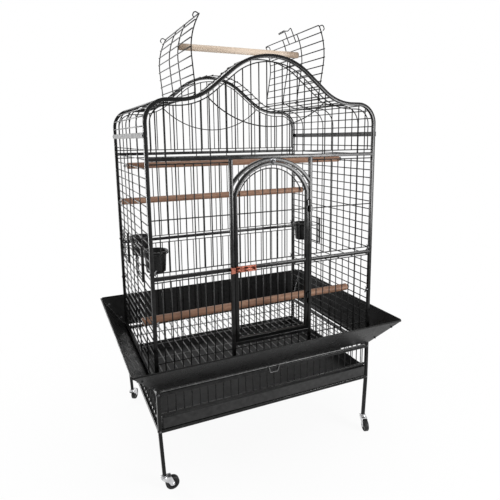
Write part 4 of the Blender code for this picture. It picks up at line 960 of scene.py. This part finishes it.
# The copper bolt with its knob, and its keeper.
BOLT_Y = -0.3403
bolt = [rod([(-0.1505, BOLT_Y, MID_RAIL), (-0.08, BOLT_Y, MID_RAIL)], 0.0026, UP, 14),
        slab((-0.0835, BOLT_Y - 0.013, MID_RAIL - 0.006), (-0.078, BOLT_Y + 0.0004, MID_RAIL + 0.006),
             0.0015)]
piece("bolt_rod", "door_bolt", (COPPER, bolt), body="door_bolt")
keeper = bracket(-0.1725, -0.156, (-0.346, -0.3432), (-0.3432, -0.3361), 0.011, 0.0034, 0.0006)
piece("keeper_plate", "bolt_keeper", (COPPER, keeper))

# Perches.
PERCH_END = HALF_W - 0.0015
WASHER = ((0, 0.0056), (0.0095, 0.0056), (0.0095, 0.007), (0, 0.007))


def perch(tag, body, a, b, radius, material, x0=-PERCH_END, x1=PERCH_END):
    """A turned perch with eased ends. Those of the cage have a bolt, a washer and a nut at each end."""
    (y0, z0), (y1, z1) = a, b
    back = radius * sqrt((y1 - y0) ** 2 + (z1 - z0) ** 2) / (x1 - x0)
    start, end = Vector((x0 + back, y0, z0)), Vector((x1 - back, y1, z1))
    long = (end - start).length
    tip = [(0, 0), (radius * 0.8, 0), (radius * 0.93, radius * 0.07), (radius, radius * 0.22)]
    profile = tip + [(radius * (1 + 0.012 * sin(k * 2.3)), long * k / 12) for k in range(1, 12)]
    profile += [(r, long - h) for r, h in reversed(tip)]
    groups = [(material, [lathe(profile, 28, start, end - start)])]
    if body == "cage":
        along = (end - start).normalized()
        bolts = []
        for spot, way in ((start, -along), (end, along)):
            bolts += [rod([spot, spot + way * 0.011], 0.0022, UP), lathe(WASHER, 20, spot, way)]
            bolts += hex_nut(spot + way * 0.007, way, 0.005, 0.0034, 0.0022)
        groups.append((STEEL, bolts))
    piece("wood_perch_" + tag, "perch_" + tag, *groups, body=body)


perch("upper", "cage", (0.084, 1.151), (-0.096, 1.162), 0.0123, DARK_WOOD)
perch("back", "cage", (0.271, 0.985), (0.23, 0.994), 0.0142, DARK_WOOD)
perch("low", "cage", (-0.065, 0.55), (-0.174, 0.597), 0.015, DARK_WOOD)
top_low, top_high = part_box("perch_top")
perch("top", "left_flap", (-0.04, 1.597), (-0.04, 1.597), 0.0125, PALE_WOOD, top_low.x, top_high.x)

# Seed skirt: four thin sheets with a rolled outer edge, rounded at the corners.
SHEET = 0.0014
ROLL = 0.003
CORNER = 0.012
SKIRT_FLAT = SKIRT_REACH - CORNER
IN_X = HALF_W + TUBE_H + FIT
IN_Y = HALF_D + TUBE_H + FIT
SKIRT_COLS = 9
climb = (SKIRT_HIGH - SKIRT_LOW) / SKIRT_REACH
outside = Vector((0, -climb, -1)).normalized()


def skirt_end(u):
    """How far a sheet reaches past the inner corner at offset u, with the outer corner rounded."""
    if u <= SKIRT_FLAT:
        return u - FIT
    return min(u - FIT, SKIRT_FLAT + sqrt(max(0, CORNER ** 2 - (u - SKIRT_FLAT) ** 2)))


def skirt_sheet(wide, deep):
    """The sloped sheet as a thin closed shell, its rolled edge as a tube, and its turned-up inner lip."""
    us = [SHEET * 0.9, 0.004, 0.03, 0.06, SKIRT_FLAT]
    us += [SKIRT_FLAT + (CORNER - 0.0008) * k / 7 for k in range(1, 8)]
    verts = []
    for u in us:
        reach = wide + skirt_end(u)
        row = [Vector((reach * (2 * k / (SKIRT_COLS - 1) - 1), -(deep + u), SKIRT_LOW + u * climb))
               for k in range(SKIRT_COLS)]
        verts += row + [spot + outside * SHEET for spot in reversed(row)]
    sheet = (verts, bands(len(us), 2 * SKIRT_COLS))
    turns = [pi / 20 * k for k in range(5, -1, -1)]
    path = [(-(wide + SKIRT_FLAT + CORNER * sin(a)), SKIRT_FLAT + CORNER * cos(a)) for a in turns]
    path += [(-x, u) for x, u in reversed(path)]
    line = [Vector((x, -(deep + u), SKIRT_LOW + u * climb)) for x, u in path]
    line[0].x += FIT
    line[-1].x -= FIT
    hem = sweep(line, round_section(ROLL, 14), UP)
    lip = slab((-wide + 0.001, -(deep + SHEET), SKIRT_LOW), (wide - 0.001, -deep, SKIRT_LOW + 0.011), 0.0003)
    return [sheet, hem, lip]


for tag, wide, deep, angle in (("front", IN_X, IN_Y, 0), ("right", IN_Y, IN_X, 90),
                               ("back", IN_X, IN_Y, 180), ("left", IN_Y, IN_X, 270)):
    turn = Matrix.Rotation(radians(angle), 4, "Z")
    screws = []
    for s in (-1, 1):
        for u in (0.022, 0.068):
            spot = Vector((s * (wide + skirt_end(u) - 0.01), -(deep + u), SKIRT_LOW + u * climb))
            screws.append(pan_head(spot - outside * 0.0002, -outside, *SMALL_HEAD))
            screws += hex_nut(spot + outside * SHEET, outside, 0.004, 0.0028, 0.002)
    sheet = placed(skirt_sheet(wide, deep), turn)
    piece("skirt_sheet_" + tag, "skirt_" + tag, (SHEET_COAT, sheet), (STEEL, placed(screws, turn)))

# Base legs, which lean inwards below the base, with the screws that hold the base panels.
TOP_C = BASE_TOP - TUBE_H
LOW_C = BASE_LOW + TUBE_H
FOOT_X = HALF_W - LEAN
for x, y, sx, sy, tag in CORNERS:
    path = rounded([(sx * FOOT_X, y, LEG_FOOT), (x, y, BASE_LOW), (x, y, BASE_TOP)], 0.05, 4)
    screws = []
    for z in (LOW_C, TOP_C):
        screws.append(pan_head((x + sx * TUBE_H, y, z), (sx, 0, 0), *SMALL_HEAD))
        screws.append(pan_head((x, y + sy * TUBE_H, z), (0, sy, 0), *SMALL_HEAD))
    piece("leg_tube_" + tag, "leg_" + tag, (TUBE_COAT, [tube(path)]), (STEEL, screws))

# Base panels. The front one is open below for the tray.
SLOT_C = SLOT_TOP + 0.004
front_grille = [x for x in (0.005 + BASE_PITCH * k for k in range(-14, 15)) if abs(x) < HALF_W - 0.012]
side_grille = [-0.285 + BASE_PITCH * k for k in range(20)]
slot = [(-POST_IN_X, -HALF_D, SLOT_C), (POST_IN_X, -HALF_D, SLOT_C)]
slot_bar = sweep(slot, square_section(0.004, 0.001), UP)
for sy, fb, low, rails in ((-1, "front", SLOT_C, [slot_bar]),
                           (1, "back", LOW_C, [level(LOW_C, -POST_IN_X, POST_IN_X, HALF_D)])):
    rails.append(level(TOP_C, -POST_IN_X, POST_IN_X, sy * HALF_D))
    piece("base_grille_" + fb, "base_" + fb,
          (TUBE_COAT, rails), (WIRE_COAT, standing(front_grille, low, TOP_C, sy * HALF_D)))
for sx, lr in SIDES:
    x = sx * HALF_W
    piece("base_grille_" + lr, "base_" + lr,
          (TUBE_COAT, [tube([(x, -POST_IN_Y, z), (x, POST_IN_Y, z)], UP) for z in (TOP_C, LOW_C)]),
          (WIRE_COAT, [rod([(x, y, LOW_C), (x, y, TOP_C)], up=WALL) for y in side_grille]))
runners = []
for x0, x1 in ((-0.4385, -0.415), (0.415, 0.4385)):
    runners.append(slab((x0, -HALF_D, BASE_LOW + 0.0125), (x1, POST_IN_Y, BASE_LOW + 0.0139), 0.0003))
piece("base_rail_front", "tray_runners",
      (TUBE_COAT, [level(LOW_C, -POST_IN_X, POST_IN_X)]), (SHEET_COAT, runners))

# The waste tray: a folded sheet box with rounded corners and a hemmed rim.
TRAY_X = 0.437
TRAY_FRONT = -0.3315
TRAY_BACK = 0.315
TRAY_WALL = 0.0015
TRAY_EASE = 0.002
inner = TRAY_LOW + TRAY_WALL
levels = ((TRAY_EASE, TRAY_LOW), (0, TRAY_LOW + TRAY_EASE), (0, TRAY_TOP), (TRAY_WALL, TRAY_TOP),
          (TRAY_WALL, inner + TRAY_EASE), (TRAY_WALL + TRAY_EASE, inner))
verts = []
for inset, z in levels:
    r = 0.006 - min(inset, 0.005)
    back, on = TRAY_BACK - inset - r, TRAY_FRONT + inset + r
    for s, y, start in ((1, back, 0), (-1, back, 1), (-1, on, 2), (1, on, 3)):
        turns = [pi / 2 * (start + k / 4) for k in range(5)]
        verts += [Vector((s * (TRAY_X - inset - r) + r * cos(a), y + r * sin(a), z)) for a in turns]
box = (verts, bands(len(levels), 20))
x0, x1, y0, y1 = -TRAY_X + 0.001, TRAY_X - 0.001, TRAY_FRONT + 0.001, TRAY_BACK - 0.001
rim = rounded([(x, y, TRAY_TOP) for x, y in ((x0, y0), (x1, y0), (x1, y1), (x0, y1))], 0.005, 4, True)
piece("waste_tray", "tray", (TRAY_COAT, [box, rod(rim, 0.0017, UP, 8, True)]), body="tray")

# The floor grate with its pull loop.
GRATE_R = 0.0021
GRATE_LOW = BASE_TOP + 0.0004 + GRATE_R
GRATE_HIGH = GRATE_LOW + 2 * GRATE_R - 0.0006
GRATE_PITCH = 0.0285
PULL_Y = -0.3345
PULL_LOW = 0.366
wires = [crosswise(-0.4275 + GRATE_PITCH * k, GRATE_HIGH, -0.3295, 0.316, 0.0019, UP, 8) for k in range(31)]
for y in (-0.3255, -0.195, -0.065, 0.065, 0.195, 0.312):
    wires.append(rod([(-0.438, y, GRATE_LOW), (0.438, y, GRATE_LOW)], GRATE_R, UP, 8))
pull = [(0.0215, -0.3255, GRATE_LOW), (0.0215, PULL_Y, GRATE_LOW), (0.016, PULL_Y, PULL_LOW)]
pull = [(-x, y, z) for x, y, z in pull] + list(reversed(pull))
wires.append(rod(rounded(pull, 0.004, 4), 0.0018, (1, 0, 0.1)))
piece("grate_wires", "floor_grate", (GRATE_SHEEN_COAT, wires), body="floor_grate")

# Castors: a pressed fork with a swivel race, and a wheel with a tread and a hub.
CHEEK_IN, CHEEK_OUT = 0.0102, 0.0119
CHEEK = [(TRAIL - 0.0075, 0.02), (TRAIL - 0.005, 0.0182), (TRAIL + 0.0042, 0.0182), (TRAIL + 0.0068, 0.02),
         (TRAIL + 0.006, 0.03), (0.024, 0.054), (-0.0125, 0.054), (-0.004, 0.044), (0.012, 0.034)]
RACE = ((0, 0.054), (0.0125, 0.054), (0.0135, 0.0555), (0.0125, 0.058), (0.009, 0.0592), (0.0085, 0.0612),
        (0, 0.0612))
TREAD = [(0.0165, -0.0082), (0.0225, -0.009), (0.0242, -0.008), (0.0249, -0.0055)]
TREAD += [(WHEEL_R, 0)] + [(r, -h) for r, h in reversed(TREAD)]
HUB = [(0.0044, -0.009), (0.0085, -0.009), (0.01, -0.007), (0.015, -0.006), (0.0168, -0.0078)]
HUB += [(r, -h) for r, h in reversed(HUB)]
for tag, sx, sy, heading in CASTERS:
    turn = Matrix.Translation((sx * FOOT_X, sy * HALF_D, 0)) @ Matrix.Rotation(radians(heading), 4, "Z")
    fork = [slab((-0.013, -0.0118, 0.0532), (0.024, 0.0118, 0.056), 0.0008), lathe(RACE, 28)]
    for s in (-1, 1):
        verts = [Vector((x, s * y, z)) for y in (CHEEK_IN, CHEEK_OUT) for x, z in CHEEK]
        head = pan_head((TRAIL, s * CHEEK_OUT, WHEEL_R), (0, s, 0), 0.0042, 0.0022)
        fork += [(verts, bands(2, len(CHEEK))), head]
    piece("castor_fork_" + tag, "caster_fork_" + tag,
          (ZINC, placed(fork, turn)), body="caster_fork_" + tag)
    tyre, core = lathe(TREAD, 48, (TRAIL, 0, WHEEL_R), BACK), lathe(HUB, 36, (TRAIL, 0, WHEEL_R), BACK)
    piece("castor_wheel_" + tag, "caster_wheel_" + tag,
          (RUBBER, placed([tyre], turn)), (PLASTIC, placed([core], turn)), body="caster_wheel_" + tag)


def seen_by(tree, *kinds):
    """1 for rays of one of these kinds, otherwise 0."""
    rays = node(tree, "LightPath")
    found = rays.outputs[kinds[0]]
    for kind in kinds[1:]:
        found = node(tree, "Math", {0: found, 1: rays.outputs[kind]}, operation="MAXIMUM").outputs[0]
    return found


# The floor. It is pale, takes the shadow and fades into the backdrop far out.
FLOOR_R = 9
FADE = {"From Min": 0.3, "From Max": 1.6, "To Min": 0.92}
floor_mesh = bpy.data.meshes.new("floor")
rim = [(FLOOR_R * cos(2 * pi * k / 96), FLOOR_R * sin(2 * pi * k / 96), 0) for k in range(96)]
floor_mesh.from_pydata(rim, [], [tuple(range(96))])
floor = bpy.data.objects.new("floor", floor_mesh)
scene.collection.objects.link(floor)
floor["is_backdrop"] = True
look = Look("floor", 0.9, 0, 0.1)
look.sockets["Base Color"].default_value = shade(0.9)
tree = look.tree
matt, glow = tree.nodes["Principled BSDF"], node(tree, "Emission", {"Color": shade(1)})
reach = node(tree, "VectorMath", {0: look.place}, operation="LENGTH")
fade = node(tree, "MapRange", {"Value": reach.outputs["Value"], **FADE})
seen = seen_by(tree, "Is Camera Ray", "Is Glossy Ray")
share = node(tree, "Math", {0: seen, 1: fade.outputs["Result"]}, operation="MULTIPLY")
mix = node(tree, "MixShader", {0: share.outputs[0], 1: matt.outputs[0], 2: glow.outputs[0]})
tree.links.new(mix.outputs[0], tree.nodes["Material Output"].inputs["Surface"])
floor_mesh.materials.append(look.material)

# The backdrop is white where it is seen or mirrored, and a softer grey where it only lights.
world = bpy.data.worlds.new("studio")
scene.world = world
world.use_nodes = True
tree = world.node_tree
soft, white = tree.nodes["Background"], node(tree, "Background")
for background, strength in ((soft, 0.32), (white, 1)):
    background.inputs["Color"].default_value = shade(1)
    background.inputs["Strength"].default_value = strength
seen = seen_by(tree, "Is Camera Ray", "Is Glossy Ray", "Is Transmission Ray")
mix = node(tree, "MixShader", {0: seen, 1: soft.outputs[0], 2: white.outputs[0]})
tree.links.new(mix.outputs[0], tree.nodes["World Output"].inputs["Surface"])

# Lamps: name, place, the point aimed at, width, height and watts.
LAMPS = (("overhead", (0, -0.3, 3.6), (0, 0, 0.6), 3.2, 3.2, 45),
         ("front_right", (1.66, -2.95, 0.95), (0.1, -0.3, 1.1), 0.72, 1, 82),
         ("right_fill", (2.35, -2.6, 0.9), (0.4, -0.3, 1), 0.8, 1.2, 36),
         ("back_left", (-1.9, 2.6, 1), (0.1, 0, 1), 0.7, 1.7, 60),
         ("back_high", (0.65, 3, 2.9), (0.45, 0, 0.5), 1.4, 1, 14))
for name, spot, target, wide, tall, power in LAMPS:
    light = bpy.data.lights.new(name, "AREA")
    light.shape = "RECTANGLE"
    light.size, light.size_y = wide, tall
    light.energy = power
    lamp = bpy.data.objects.new(name, light)
    lamp.location = spot
    lamp.rotation_euler = (Vector(target) - Vector(spot)).to_track_quat("-Z", "Y").to_euler()
    scene.collection.objects.link(lamp)

scene.view_settings.view_transform = "Standard"
low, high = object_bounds()
